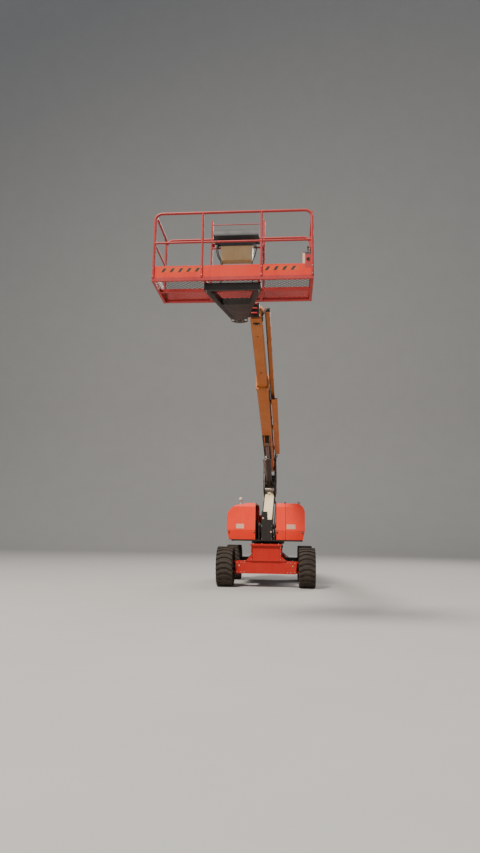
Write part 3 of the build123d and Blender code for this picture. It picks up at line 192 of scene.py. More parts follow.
def coat(name, base, faded, dust=0.3, rough=0.42, wear=0.3, under=(0.16, 0.14, 0.13),
         grime=0.35, low_dust=0.0, grain=0.02, edge=0.004):
    """Paint, plastic or rubber with fading, grime, settled dust and worn edges."""
    made = Nodes(name)
    normal = made.make("NewGeometry").outputs["Normal"]
    rounded = made.rounded(edge)
    colour = made.blend(made.limits(made.noise(1.7), 0.35, 0.68), base, faded)
    streaks = made.limits(made.noise(1.6, 7, stretch=(9, 9, 0.8)), 0.52, 0.78, 0.0, grime)
    colour = made.blend(streaks, colour, tuple(v * 0.45 for v in base))
    settled = made.limits(made.z_of(normal), 0.15, 1.0, 0.12, 1.0)
    speckle = made.limits(made.noise(22, 8, 0.7), 0.3, 0.72)
    dusty = made.maths("MULTIPLY", made.maths("MULTIPLY", settled, speckle), dust)
    if low_dust:
        splash = made.limits(made.z_of(made.coord), 0.1, 1.1, low_dust, 0.0)
        patchy = made.limits(made.noise(7, 8, 0.7), 0.25, 0.7)
        dusty = made.maths("MAXIMUM", dusty, made.maths("MULTIPLY", splash, patchy))
    colour = made.blend(dusty, colour, DUST)
    bend = made.make("VectorMath", operation="DOT_PRODUCT")
    made.feed(rounded, bend.inputs[0])
    made.feed(normal, bend.inputs[1])
    at_edge = made.limits(bend.outputs["Value"], 0.97, 0.82)
    chipped = made.limits(made.noise(34, 8, 0.75), 0.5, 0.62)
    worn = made.maths("MULTIPLY", made.maths("MULTIPLY", at_edge, chipped), wear)
    gloss = made.limits(made.noise(5, 6), 0.3, 0.7, rough - 0.07, rough + 0.1)
    gloss = made.maths("ADD", gloss, made.maths("MULTIPLY", dusty, 0.35))
    made.shader["Specular IOR Level"].default_value = 0.3
    return made.finish(made.blend(worn, colour, under), gloss, rounded, made.noise(120, 3),
                       grain * 10, 0.002)


def metal(name, base, rough, stain=0.3):
    """Bare or plated metal with an oily, dusty film."""
    made = Nodes(name)
    film = made.limits(made.noise(9, 8, 0.7), 0.42, 0.75, 0.0, stain)
    gloss = made.limits(made.noise(26, 5), 0.3, 0.7, rough, rough + 0.15)
    made.shader["Metallic"].default_value = 1.0
    return made.finish(made.blend(film, base, OIL), gloss, made.rounded(0.002),
                       made.noise(12, 4, stretch=(40, 3, 3)), 0.1, 0.001)


M = {
    "hood": coat("hood_paint", (0.88, 0.03, 0.006), (0.92, 0.045, 0.014), dust=0.1, grime=0.25),
    # chassis: the hoods' orange-red made darker, as painted shade on the chassis, axle and
    # counterweight
    "chassis": coat("chassis_paint_painted_shade", (0.45, 0.006, 0.001), (0.48, 0.014, 0.004), dust=0.1,
                    low_dust=0.08, wear=0.5, grime=0.35),
    # rail: the same orange-red made darker, as painted shade on the backlit rails, floor frame and
    # gate
    "rail": coat("rail_paint_painted_shade", (0.37, 0.026, 0.026), (0.42, 0.042, 0.038), dust=0.25, wear=0.5,
                 edge=0.002),
    "cream": coat("tower_paint", (0.9, 0.7, 0.4), (0.92, 0.76, 0.48), dust=0.15, wear=0.35,
                  grime=0.3),
    # boom: the booms' cream paint made orange-brown, as painted shade lit by a painted reflection
    # of orange ground
    "boom": coat("boom_painted_shade_and_reflection", (0.44, 0.125, 0.024), (0.48, 0.16, 0.04), dust=0.2, wear=0.35,
                 under=(0.3, 0.2, 0.13), grime=0.4),
    "black": coat("black_paint", (0.01, 0.008, 0.007), (0.02, 0.017, 0.014), dust=0.14,
                  wear=0.4, under=(0.14, 0.12, 0.1)),
    "dark": coat("dark_paint", (0.05, 0.045, 0.042), (0.08, 0.075, 0.07), dust=0.4),
    "tan": coat("console_paint", (0.56, 0.36, 0.16), (0.6, 0.42, 0.22), dust=0.2, wear=0.4),
    "grey": coat("grey_plastic", (0.04, 0.043, 0.046), (0.06, 0.06, 0.064), dust=0.12,
                 rough=0.55, wear=0.1, grain=0.06),
    "pale": coat("pale_plastic", (0.62, 0.57, 0.48), (0.5, 0.45, 0.37), dust=0.3, rough=0.5),
    "tyre": coat("tyre_rubber", (0.017, 0.014, 0.012), (0.028, 0.023, 0.02), dust=0.2,
                 low_dust=0.22, rough=0.78, wear=0.0, grain=0.08, edge=0.006),
    "rim": coat("rim_paint", (0.6, 0.46, 0.26), (0.68, 0.54, 0.36), dust=0.45, low_dust=0.5,
                wear=0.4),
    "hose": coat("hose_rubber", (0.025, 0.022, 0.02), (0.055, 0.048, 0.042), dust=0.4,
                 rough=0.55, wear=0.0, grain=0.1, edge=0.001),
    "sleeve": coat("hose_sleeve", (0.17, 0.1, 0.12), (0.26, 0.17, 0.19), dust=0.35, rough=0.7,
                   wear=0.0, grain=0.12, edge=0.001),
    "yellow": coat("stripe_yellow", (0.7, 0.34, 0.03), (0.6, 0.34, 0.1), dust=0.3, edge=0.001),
    "stripe": coat("stripe_black", (0.02, 0.017, 0.015), (0.045, 0.038, 0.032), dust=0.25,
                   edge=0.001),
    "label": coat("blank_plate", (0.74, 0.42, 0.3), (0.66, 0.36, 0.25), dust=0.2, edge=0.001),
    "board": coat("toe_board_paint", (0.65, 0.027, 0.008), (0.68, 0.042, 0.018), dust=0.15,
                  wear=0.4, edge=0.001),
    "band": coat("toe_board_band", (0.66, 0.06, 0.008), (0.62, 0.075, 0.014), dust=0.2,
                 edge=0.001),
    "braid": coat("hose_braid", (0.5, 0.44, 0.4), (0.12, 0.09, 0.08), dust=0.3, rough=0.6,
                  wear=0.0, grain=0.12, edge=0.001),
    "red": coat("red_plastic", (0.5, 0.015, 0.01), (0.45, 0.035, 0.03), dust=0.15, edge=0.001),
    "steel": metal("bare_steel", (0.45, 0.42, 0.38), 0.36),
    "chrome": metal("plated_rod", (0.8, 0.8, 0.8), 0.1, 0.18),
    # the main rod: chrome made dark as painted shade, with an oily film
    "oily_painted_shade": metal("oily_painted_shade_rod", (0.16, 0.14, 0.12), 0.3, 0.5),
}
NODE_LOOK = {
    "hood": "hood_left hood_right",
    "chassis": "chassis_frame tie_down_lugs front_axle counterweight",
    "rail": "rail_front rail_rear rail_left rail_right platform_floor gate",
    "cream": "tower_boom",
    "boom": "boom_base boom_fly carrier_trough carrier_tube",
    # the turntable frame is black as painted shade of the gaps between and under the hoods
    "black": "rear_axle swing_bearing steer_cylinder knuckle_left knuckle_right tower_links "
             "tower_barrel main_barrel platform_head rotator platform_support turntable_frame "
             "upright",
    "chrome": "tower_rod tie_rod",
    "oily_painted_shade": "main_rod",
    "dark": "engine_block fluid_tanks control_box",
    "tan": "console_box",
    "grey": "console_cover outlet_box",
    "pale": "beacon",
    "tyre": "tyre_front_left tyre_front_right tyre_rear_left tyre_rear_right",
    "rim": "rim_front_left rim_front_right rim_rear_left rim_rear_right",
}
for look, names in NODE_LOOK.items():
    for name in names.split():
        mesh = NODES[name].data
        for place in range(max(1, len(mesh.materials))):
            if mesh.materials:
                mesh.materials[place] = M[look]
            else:
                mesh.materials.append(M[look])


# Shapes
def disc(radius, tall, *more):
    """The profile of a disc, with any more rows that follow it."""
    return [(0, radius), (tall, radius), *more]


class Shape:
    """One piece, built up in millimetres by its own sense of place, then given to a body."""

    def __init__(self, name, body, looks, place=at, axes=AXES):
        self.name, self.body, self.looks = name, body, looks.split()
        self.place, self.axes = place, axes
        self.mesh = bmesh.new()

    def spot(self, place):
        """A place in the frame, from the piece's millimetres or as it is."""
        return place if isinstance(place, Vector) else self.place(*place)

    def add(self, places, faces, look=0, smooth=False):
        corners = [self.mesh.verts.new(self.spot(p)) for p in places]
        for face in faces:
            made = self.mesh.faces.new([corners[i] for i in face])
            made.material_index = look
            made.smooth = smooth

    def block(self, centre, size, look=0, axes=None):
        """A box of size (x, y, z), along the piece's axes or others."""
        a, b, c = (axis * (s / 2000) for axis, s in zip(axes or self.axes, size))
        middle = self.spot(centre)
        places = [middle + a * i + b * j + c * k
                  for k in (-1, 1) for j in (-1, 1) for i in (-1, 1)]
        self.add(places, [(0, 2, 3, 1), (4, 5, 7, 6), (0, 1, 5, 4), (2, 6, 7, 3), (0, 4, 6, 2),
                          (1, 3, 7, 5)], look)

    def strip(self, start, stop, wide, thick, look=1):
        """A bar from one place to another, wide from left to right."""
        start, stop = self.spot(start), self.spot(stop)
        ahead = (stop - start).normalized()
        self.block((start + stop) / 2, (wide, (stop - start).length * 1000, thick), look,
                   (RIGHT, ahead, RIGHT.cross(ahead)))

    def turned(self, start, axis, profile, sides=16, look=0, loop=False):
        """A solid of revolution: profile is rows of (distance along, radius).

        A loop closes the last row onto the first, as in a ring.
        """
        start, axis = self.spot(start), axis.normalized()
        a = axis.orthogonal().normalized()
        b = axis.cross(a)
        turns = [2 * math.pi * i / sides for i in range(sides)]
        places = [start + axis * (along / 1000)
                  + (a * math.cos(t) + b * math.sin(t)) * (radius / 1000)
                  for along, radius in profile for t in turns]
        rows = len(profile)
        faces = []
        for r in range(rows if loop else rows - 1):
            low, high = r * sides, (r + 1) % rows * sides
            for i in range(sides):
                j = (i + 1) % sides
                faces.append((low + i, low + j, high + j, high + i))
        self.add(places, faces, look, smooth=sides > 8)
        if loop:
            return
        for row, order in ((0, -1), (rows - 1, 1)):
            if profile[row][1] > 0.01:
                ring = places[row * sides:(row + 1) * sides]
                self.add(ring, [tuple(range(sides))[::order]], look)

    def bolt(self, place, axis, radius, look=0):
        """A washer and a hexagon head."""
        washer = radius * 1.35
        self.turned(place, axis, disc(washer, radius * 0.25), 12, look)
        self.turned(place, axis, [(radius * 0.2, radius), (radius * 0.9, radius),
                                  (radius * 1.05, radius * 0.8)], 6, look)

    def bolts(self, place, axis, ring, count, radius, look=0):
        """Bolt heads in a circle round an axis."""
        place = self.spot(place)
        a = axis.orthogonal().normalized()
        b = axis.cross(a)
        for i in range(count):
            turn = 2 * math.pi * i / count
            self.bolt(place + (a * math.cos(turn) + b * math.sin(turn)) * (ring / 1000), axis,
                      radius, look)

    def hose(self, points, radius, look=0, sides=8, steps=6):
        """A round hose that runs smoothly through its points."""
        run = smooth_run([self.spot(p) for p in points], steps)
        places, faces = [], []
        side = None
        last = len(run) - 1
        for i, p in enumerate(run):
            ahead = (run[min(i + 1, last)] - run[max(i - 1, 0)]).normalized()
            side = ahead.orthogonal() if side is None else side - ahead * side.dot(ahead)
            side.normalize()
            other = ahead.cross(side)
            for k in range(sides):
                turn = 2 * math.pi * k / sides
                places.append(
                    p + (side * math.cos(turn) + other * math.sin(turn)) * (radius / 1000))
        for i in range(last):
            low, high = i * sides, (i + 1) * sides
            for k in range(sides):
                m = (k + 1) % sides
                faces.append((low + k, low + m, high + m, high + k))
        faces += [tuple(range(sides))[::-1], tuple(last * sides + k for k in range(sides))]
        self.add(places, faces, look, smooth=True)

    def plate(self, outline, depth, look=0):
        """A flat plate: outline points in order, and its thickness as (x, y, z)."""
        count = len(outline)
        places = [self.spot(p) for p in outline]
        places += [p + Vector(depth) / 1000 for p in places]
        faces = [tuple(range(count))[::-1], tuple(range(count, 2 * count))]
        faces += [(i, (i + 1) % count, count + (i + 1) % count, count + i) for i in range(count)]
        self.add(places, faces, look)

    def done(self, bevel=0.0):
        """Makes the object, with its normals outward, and hands it to its body."""
        bmesh.ops.recalc_face_normals(self.mesh, faces=self.mesh.faces)
        data = bpy.data.meshes.new(self.name)
        self.mesh.to_mesh(data)
        self.mesh.free()
        for look in self.looks:
            data.materials.append(M[look])
        made = bpy.data.objects.new(self.name, data)
        bpy.context.scene.collection.objects.link(made)
        if bevel:
            soft = made.modifiers.new("edges", "BEVEL")
            soft.width, soft.segments, soft.limit_method = bevel / 1000, 2, "ANGLE"
        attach(made, self.body)
        return made


def smooth_run(points, steps):
    """Points along a smooth line through the given ones."""
    ends = [points[0] * 2 - points[1], *points, points[-1] * 2 - points[-2]]
    run = []
    for a, b, c, d in zip(ends, ends[1:], ends[2:], ends[3:]):
        for t in (i / steps for i in range(steps)):
            run.append(0.5 * (b * 2 + (c - a) * t + (a * 2 - b * 5 + c * 4 - d) * t * t
                              + (b * 3 - a - c * 3 + d) * t ** 3))
    return [*run, points[-1]]


# Wheels
LUGS = 24


def tyre(corner, body):
    """A round lugged tyre in the form of the plain one, with the same lugs."""
    name = f"tyre_{corner}"
    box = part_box(name)
    hub = (box[0] + box[1]) / 2
    shape = Shape(f"{name}_tread", body, "tyre")
    flank = [(141, 287), (152, 306), (163, 318), (166, 330), (176, 334), (181, 346), (181, 352),
             (201, 376), (212, 398), (215, 410), (210, 436), (196, 464), (180, 476), (90, 478)]
    shape.turned(hub, RIGHT, flank + [(-x, r) for x, r in reversed(flank)], 96, loop=True)
    # place across, top, foot, half width, place round
    rows = [(216, 424, 414, 15, -40), (214, 452, 436, 20, -37), (208, 500, 466, 25, -33),
            (200, 505, 470, 27, -30), (134, 505, 472, 27, 0), (68, 505, 473, 27, 29),
            (0, 505, 473, 27, 31)]
    rows += [(-x, *rest) for x, *rest in reversed(rows[:-1])]
    for i in range(LUGS):
        turn = 2 * math.pi * i / LUGS
        places, faces = [], []
        for x, top, foot, half, shift in rows:
            for radius, reach in ((foot, -half - 7), (top, -half), (top, half), (foot, half + 7)):
                angle = turn + (shift + reach) / radius
                places.append(
                    hub + vec(x, -radius * math.sin(angle), -radius * math.cos(angle)) / 1000)
        for r in range(len(rows) - 1):
            faces += [(r * 4 + k, r * 4 + k + 1, r * 4 + k + 5, r * 4 + k + 4) for k in range(3)]
        last = 4 * (len(rows) - 1)
        faces += [(0, 3, 2, 1), (last, last + 1, last + 2, last + 3)]
        shape.add(places, faces)
    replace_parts(shape.done(), name)
    return hub


def wheel(corner, body, side):
    """Nuts, cap bolts, plugs and the valve of one wheel."""
    hub = tyre(corner, body)
    out = RIGHT * side
    parts = Shape(f"wheel_{corner}_fittings", body, "steel black rim")
    face = hub + out * 0.008
    for i in range(10):
        turn = 2 * math.pi * (i + 0.5) / 10
        place = face + vec(0, math.cos(turn), math.sin(turn)) * 0.134
        parts.turned(place, out, disc(19, 5, (5, 15), (24, 15), (27, 11)), 6)
        parts.turned(place, out, [(24, 9), (36, 9), (37, 7)], 8)
    cap = hub + out * 0.0868
    parts.bolts(cap, out, 68, 8, 8)
    parts.turned(cap, out, disc(26, 6, (9, 20), (9, 12), (13, 12)), 12, 1)
    for turn in (0.7, 2.4):
        parts.bolt(cap + vec(0, math.cos(turn), math.sin(turn)) * 0.045, out, 9, 1)
    bead = hub + out * 0.1
    parts.turned(bead, out, [(0, 268), (3, 272.5), (9, 272.5), (9, 268)], 64, 2, loop=True)
    stem = hub + out * 0.085 + vec(0, 0.2, -0.16)
    parts.turned(stem, out + vec(0, -0.3, 0.25), disc(5, 28, (30, 7), (44, 7), (46, 5)), 10, 1)
    parts.done()


for end in ("front", "rear"):
    for side, side_name in SIDES:
        wheel(f"{end}_{side_name}", f"wheel_{end}_{side_name}", side)


# Chassis
def chassis():
    parts = Shape("chassis_fittings", "chassis", "steel black chassis hose label yellow")
    front = -1390
    for side in (-1, 1):
        look = 4 if side < 0 else 5
        parts.turned((side * 690, front, 540), -BACK, disc(26, 4, (6, 22)), 20, 1)
        parts.turned((side * 690, front - 3, 540), -BACK, disc(20, 6, (8, 14)), 20, look)
        for z in (380, 620):
            for x in (560, 640, 745):
                parts.bolt((side * x, front, z), -BACK, 9)
        for x, z in ((345, 700), (345, 1010), (345, 850)):
            parts.bolt((side * (x + 31), -1420, z), -BACK, 8)
        for end, y in ((-1, -1240), (1, 1240)):
            parts.block((side * 455, y + end * 166, 668), (128, 7, 14), 2)
            parts.block((side * 460, y - end * 166, 668), (120, 7, 14), 2)
        # cover plates along the frame, and the lines that run under its lip
        for y in (-320, 60, 420):
            parts.block((side * 392, y, 790), (6, 250, 250), 2)
            for i in (-1, 1):
                for k in (-1, 1):
                    parts.bolt((side * 395, y + i * 108, 790 + k * 108), RIGHT * side, 8)
        for z in (1012, 990, 968):
            parts.hose([(side * 400, y, z) for y in (-1020, -400, 300, 1010)], 8, 3, steps=2)
        for y in (-900, -560, -200, 240, 640, 960):
            parts.block((side * 403, y, 990), (14, 26, 66), 1)
            parts.bolt((side * 410, y, 990), RIGHT * side, 6)
        # king pins
        for z, way in ((640, 1), (370, -1)):
            place = at(side * 790, -1240, z)
            parts.turned(place, UP * way, [(10, 50), (17, 50), (21, 44)], 24, 1)
            parts.bolts(place + UP * (way * 0.02), UP * way, 34, 4, 6)
        # hoses to the front motors, held on the beam's back
        for k, z in enumerate((455, 500, 545)):
            parts.hose([(side * 396, -1130 + 20 * k, 800), (side * 470, -1105, 720),
                        (side * 500, -1072, z + 80), (side * 520, -1075, z)], 11, 3)
            parts.turned((side * 520, -1090, z), BACK, disc(20, 18, (18, 14), (26, 14)), 6)
        parts.block((side * 520, -1086, 500), (60, 10, 150), 1)
        # rear drive flanges
        parts.bolts((side * 885, 1240, 505), RIGHT * side, 134, 8, 10)
        for k in range(2):
            parts.hose([(side * 396, 1130 + 30 * k, 800), (side * 480, 1112, 740),
                        (side * 600, 1086, 640), (side * 700, 1083, 560 - 50 * k)], 11, 3)
            parts.turned((side * 700, 1090, 560 - 50 * k), -BACK, disc(20, 16, (16, 14)), 6)
    # lip bolts and the steering cylinder's ports
    for y in (-1300, -1150, 1150, 1300):
        for x in (-330, -110, 110, 330):
            parts.bolt((x, y, 1088), UP, 10)
    for side in (-1, 1):
        parts.block((side * 150, -1025, 625), (34, 34, 26), 1)
        parts.hose([(side * 150, -1025, 638), (side * 150, -1020, 700), (side * 220, -1060, 742),
                    (side * 384, -1072, 760)], 9, 3)
    parts.done(1.2)
    for side, side_name in SIDES:
        knuckle = Shape(f"knuckle_{side_name}_fittings", f"steer_{side_name}_body", "steel black")
        hub = at(side * 885, -1240, 505)
        knuckle.turned(hub, RIGHT * -side, disc(116, 14, (18, 108)), 40, 1)
        knuckle.bolts(hub - RIGHT * (side * 0.018), RIGHT * -side, 96, 10, 9)
        pin = at(side * 770, -1025, 493)
        knuckle.turned(pin, -UP, disc(24, 8, (8, 14), (16, 14)), 12, 1)
        knuckle.done()


chassis()


# Turntable
def turntable():
    parts = Shape("turntable_fittings", "turntable", "steel black hose label grey sleeve")
    for side in (-1, 1):
        for y in range(-880, 1300, 180):
            parts.bolt((side * 925, y, 1160), -UP, 9)
        # the boom pin's keeper
        place = at(side * 239, -800, 1550)
        parts.turned(place, RIGHT * side, disc(44, 3, (5, 38)), 24, 0)
        parts.block((side * 224, -760, 1600), (6, 110, 30), 0,
                    (RIGHT, (BACK + UP).normalized(), (UP - BACK).normalized()))
        parts.bolt((side * 227, -745, 1620), RIGHT * side, 9)
        # hoses that come up beside the boom's foot
        for k in range(2):
            x = side * (145 + 14 * k)
            parts.hose([(x, -740 + 30 * k, 1195), (x, -790 + 20 * k, 1290),
                        (x, -885 - 10 * k, 1400), (x, -925, 1560)], 7, 2)
        parts.block((side * 154, -925, 1575), (46, 30, 24), 1)
    # fittings on the guard plate
    for x, z in ((-132, 1220), (132, 1220), (-132, 1560), (132, 1560), (-132, 1900), (4, 1900)):
        parts.bolt((x, -975, z), -BACK, 8)
    for x, z in ((-100, 1762), (112, 1404)):
        parts.turned((x, -975, z), -BACK, disc(24, 5, (8, 18), (12, 18)), 16, 3)
    # the valve block behind it
    parts.block((0, -880, 1262), (180, 110, 120), 4)
    for i in range(5):
        x = -68 + 34 * i
        for k in range(2):
            parts.turned((x, -860 - 46 * k, 1322), UP, disc(15, 20, (20, 11), (44, 11)), 12)
        parts.hose([(x, -938, 1262), (x, -948, 1245), (-80 + 38 * i, -930, 1205)], 8, 2)
    # swing drives beside the tower's cylinder
    for side in (-1, 1):
        x = side * 118
        parts.turned((x, 260, 1190), UP, [
            (0, 41), (20, 41), (20, 34), (130, 34), (136, 30), (136, 22), (196, 22), (200, 17)],
                     28, 1)
        parts.bolts((x, 260, 1210), UP, 36, 6, 4)
        parts.hose([(x, 260, 1388), (x, 225, 1404), (x, 130, 1330), (x, 60, 1230),
                    (x, -20, 1196)], 8, 2)
    parts.done(1.2)


def under_hoods():
    """What fills the engine block, the tanks and the control box."""
    engine = Shape("engine_fittings", "turntable", "dark steel hose black")
    low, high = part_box("engine_block")
    mid = (low + high) / 2
    top = high.z
    for i in range(4):
        y = low.y + 0.18 + 0.2 * i
        engine.block(vec(mid.x, y, top + 0.03), (260, 150, 60))
        for x in (mid.x - 0.08, mid.x + 0.08):
            engine.bolt(vec(x, y, top + 0.06), UP, 9, 1)
        engine.turned(vec(high.x, y, mid.z + 0.15), RIGHT, disc(30, 60, (60, 26)), 16, 1)
        engine.block(vec(low.x - 0.012, y, mid.z), (24, 90, 380))
    engine.turned(vec(high.x + 0.06, low.y + 0.12, mid.z + 0.15), BACK,
                  disc(42, 720, (730, 36)), 20, 1)
    engine.turned(vec(mid.x, low.y, mid.z), -BACK, disc(110, 24, (24, 60), (60, 60)), 32, 3)
    engine.turned(vec(mid.x, low.y - 0.06, mid.z), -BACK, disc(190, 16, (16, 176)), 40, 3)
    engine.hose([vec(mid.x + 0.1, low.y, top - 0.05), vec(mid.x + 0.12, low.y - 0.12, top),
                 vec(mid.x + 0.02, low.y - 0.18, top - 0.1),
                 vec(mid.x, low.y - 0.1, top - 0.24)], 22, 2)
    engine.done(2)
    tanks = Shape("tank_fittings", "turntable", "dark steel hose black")
    for y0, y1, top in ((-660, 120, 1850), (180, 700, 1750)):
        mid_y = (y0 + y1) / 2
        tanks.turned((-760, mid_y, top), UP, disc(60, 10, (14, 48), (40, 48), (44, 40)), 24, 3)
        for x in (-840, -410):
            for y in (y0 + 30, y1 - 30):
                tanks.bolt((x, y, top), UP, 9, 1)
        for y in (y0 + 140, y1 - 140):
            tanks.block((-625, y, top + 2), (526, 50, 5), 3)
            for x in (-887, -363):
                tanks.block((x, y, (top + 1200) / 2), (6, 50, top - 1205), 3)
        tanks.hose([(-420, mid_y, top - 60), (-340, mid_y, top - 50), (-325, mid_y, 1400),
                    (-328, mid_y + 30, 1230)], 16, 2)
    tanks.done(2)
    box = Shape("control_fittings", "turntable", "grey steel red label black")
    face = -862
    box.block((440, face, 1440), (210, 6, 420), 4)
    for i in range(4):
        for k in range(2):
            box.turned((385 + 110 * k, face - 3, 1330 + 80 * i), -BACK,
                       disc(13, 8, (8, 5), (24, 5), (26, 3)), 12, 1)
    box.turned((440, face - 3, 1640), -BACK, disc(26, 10, (14, 34), (26, 34), (30, 26)), 20, 2)
    box.block((440, face - 4, 1280), (150, 4, 40), 3)
    box.done(1.5)


turntable()
under_hoods()

HOODS = (
    # name, side, inner edge, flank, label left, label right
    ("hood_left", -1, 304, 1066, -822, -607),
    ("hood_right", 1, 250, 1012, 527, 762),
)
# the dark seam across the right hood, and heights on both
HOOD_SEAM, SEAM_WIDE = 500, 9
SILL, LATCH, CREASE, HOOD_TOP = 1190, 1400, 1450, 2165


def hood_front(z):
    """How far forward a hood's front face is at a height."""
    return -1000 + 28 * (z - CREASE) / 620 if z > CREASE else -945 - 55 * (z - SILL) / 260


def hood(name, side, inner, flank, label_left, label_right):
    parts = Shape(f"{name}_fittings", f"{name}_body", "hood black label steel grey stripe pale")
    lean = vec(0, 28, 620).normalized()
    out = vec(0, -lean.z, lean.y)
    # the blank pale plate on the front
    z = 1545
    parts.block(((label_left + label_right) / 2, hood_front(z) - 1.5, z),
                (label_right - label_left, 3, 122), 2, (RIGHT, -out, lean))
    # catches on the front and latches on the flank, just under the crease
    y = hood_front(LATCH)
    for x in (inner + 30, flank - 60):
        parts.block((side * x, y - 2, LATCH), (34, 10, 60), 1)
        parts.turned((side * x, y - 6, LATCH + 5), -BACK, disc(11, 6, (8, 8)), 14, 3)
    for y in (-620, 0, 640):
        place = at(side * (flank - 12), y, LATCH)
        parts.block(place, (14, 120, 46), 1)
        parts.block(place + vec(side * 0.009, 0, 0.004), (8, 86, 20), 3)
    # rubber seal under the edges
    for y in (-952, 1054):
        parts.block((side * (inner + flank - 52) / 2, y, 1195), (flank - inner - 60, 10, 9), 1)
    parts.block((side * (flank - 58), 55, 1195), (10, 1980, 9), 1)
    # edge strip along the open inner side, and the dark seam across the right hood
    edge = side * (inner - 2)
    for y0, z0, y1, z1 in (
            (-947, 1200, -998, 1448), (-999, 1452, -971, 2066), (-970, 2072, -906, 2160),
            (-900, 2163, 960, 2163), (968, 2160, 1056, 2072), (1058, 2066, 1058, 1200)):
        parts.strip((edge, y0, z0), (edge, y1, z1), 7, 16)
        if side > 0:
            parts.strip((HOOD_SEAM, y0, z0), (HOOD_SEAM, y1, z1), SEAM_WIDE, 3, 5)
    # mesh behind the louvres
    x = side * (flank - 27)
    for i in range(22):
        parts.block((x, 210 + 20 * i, 1620), (3, 3, 290), 4)
    for i in range(15):
        parts.block((x, 420, 1480 + 20 * i), (3, 440, 3), 4)
    # the hinges' bolts, then the right hood's caps and exhaust, or the left one's beacon
    for y in (-720, 760):
        for k in (-1, 1):
            for x in (90, 42):
                parts.bolt((side * (inner + x), y + 31 * k, HOOD_TOP), UP, 8, 3)
    if side > 0:
        for x, y, r in ((484, -760, 34), (620, 520, 60)):
            parts.turned((x, y, HOOD_TOP), UP, [
                (0, r), (8, r), (12, r - 6), (12, r * 0.62), (34, r * 0.62), (40, r * 0.5)],
                         24, 1)
        parts.turned((880, 640, 2112), UP, [
            (0, 38), (150, 38), (156, 44), (172, 44), (176, 36), (176, 30), (120, 30)], 24, 3)
    else:
        x, y = -740, -560
        parts.turned((x, y, 2098), UP, disc(44, 10, (16, 34), (16, 24), (44, 20)), 24, 1)
        parts.turned((x, y, 2243), UP, disc(53, 14, (17, 50)), 28, 4)
        for k in range(3):
            ring = 50.6 - 5 * k * k / 4
            parts.turned((x, y, 2270 + 14 * k), UP, [
                (0, ring - 1), (2, ring + 0.6), (5, ring + 0.4), (6, ring - 2)], 28, 6)
    parts.done(1.5)


for row in HOODS:
    hood(*row)


def counterweight():
    parts = Shape("counterweight_fittings", "turntable", "chassis steel black red label yellow")
    for side in (-1, 1):
        # tail lamp in a guard, lifting eye, big bolts and a cast line
        parts.block((side * 430, 1883, 1700), (150, 10, 74), 2)
        for x, look in ((462, 3), (398, 5)):
            parts.turned((side * x, 1886, 1700), BACK, disc(27, 8, (12, 20)), 24, look)
        eye = at(side * 560, 1500, 1900)
        parts.turned(eye, UP, disc(44, 12, (12, 24), (20, 24)), 20, 1)
        parts.hose([eye + vec(0, y, z) for y, z in (
            (-0.032, 0.012), (-0.036, 0.05), (0, 0.082), (0.036, 0.05), (0.032, 0.012))], 10, 1)
        for y in (1200, 1400):
            for z in (1300, 1760):
                parts.bolt((side * 950, y, z), RIGHT * side, 18, 1)
        for x in (280, 500):
            parts.bolt((side * x, 1880, 1290), BACK, 18, 1)
        parts.block((side * 952, 1320, 1500), (6, 360, 18), 0)
        parts.block((side * 400, 1882, 1500), (340, 6, 18), 0)
    parts.done(1.5)


counterweight()


# Arm
def tower():
    parts = Shape("tower_fittings", "tower", "steel black sleeve hose cream", on_tower, TOWER_AXES)
    for side in (-1, 1):
        # hoses beside the boom, in clamps
        for k in range(3):
            parts.hose([(a, side * 141, 70 - 26 * k + b) for a, b in
                        ((170, -30), (420, 0), (1100, 3), (1800, -2), (2080, 20))],
                       10, 2 + (k != 1))
        for a in (320, 760, 1200, 1640, 2040):
            parts.block((a, side * 142, 44), (22, 34, 96), 1)
            parts.bolt((a, side * 153, 44), RIGHT * side, 7)
        for a in (0, 2350):
            parts.turned((a, side * 130, 0), RIGHT * side, disc(78, 2.5, (2.5, 52)), 40, 4)
        parts.bolt((-70, side * 130, 0), RIGHT * side, 8)
        parts.bolt((2420, side * 128, 0), RIGHT * side, 8)
        # weld along the cylinder's bracket, and its pin
        parts.block((TOWER_PIN, side * 71, -128), (6, 230, 8), 4)
        parts.turned((TOWER_PIN, side * 64, TOWER_DROP), RIGHT * side, disc(20, 10, (12, 16)), 20)
    for a in (500, 900, 1300, 1700):
        parts.block((a, 0, 131.5), (180, 5, 3), 4)
    for a in (240, 2060):
        parts.turned((a, 0, 130), TOWER_UP, disc(26, 4, (6, 20), (6, 8), (12, 8)), 16, 1)
    parts.done(1)


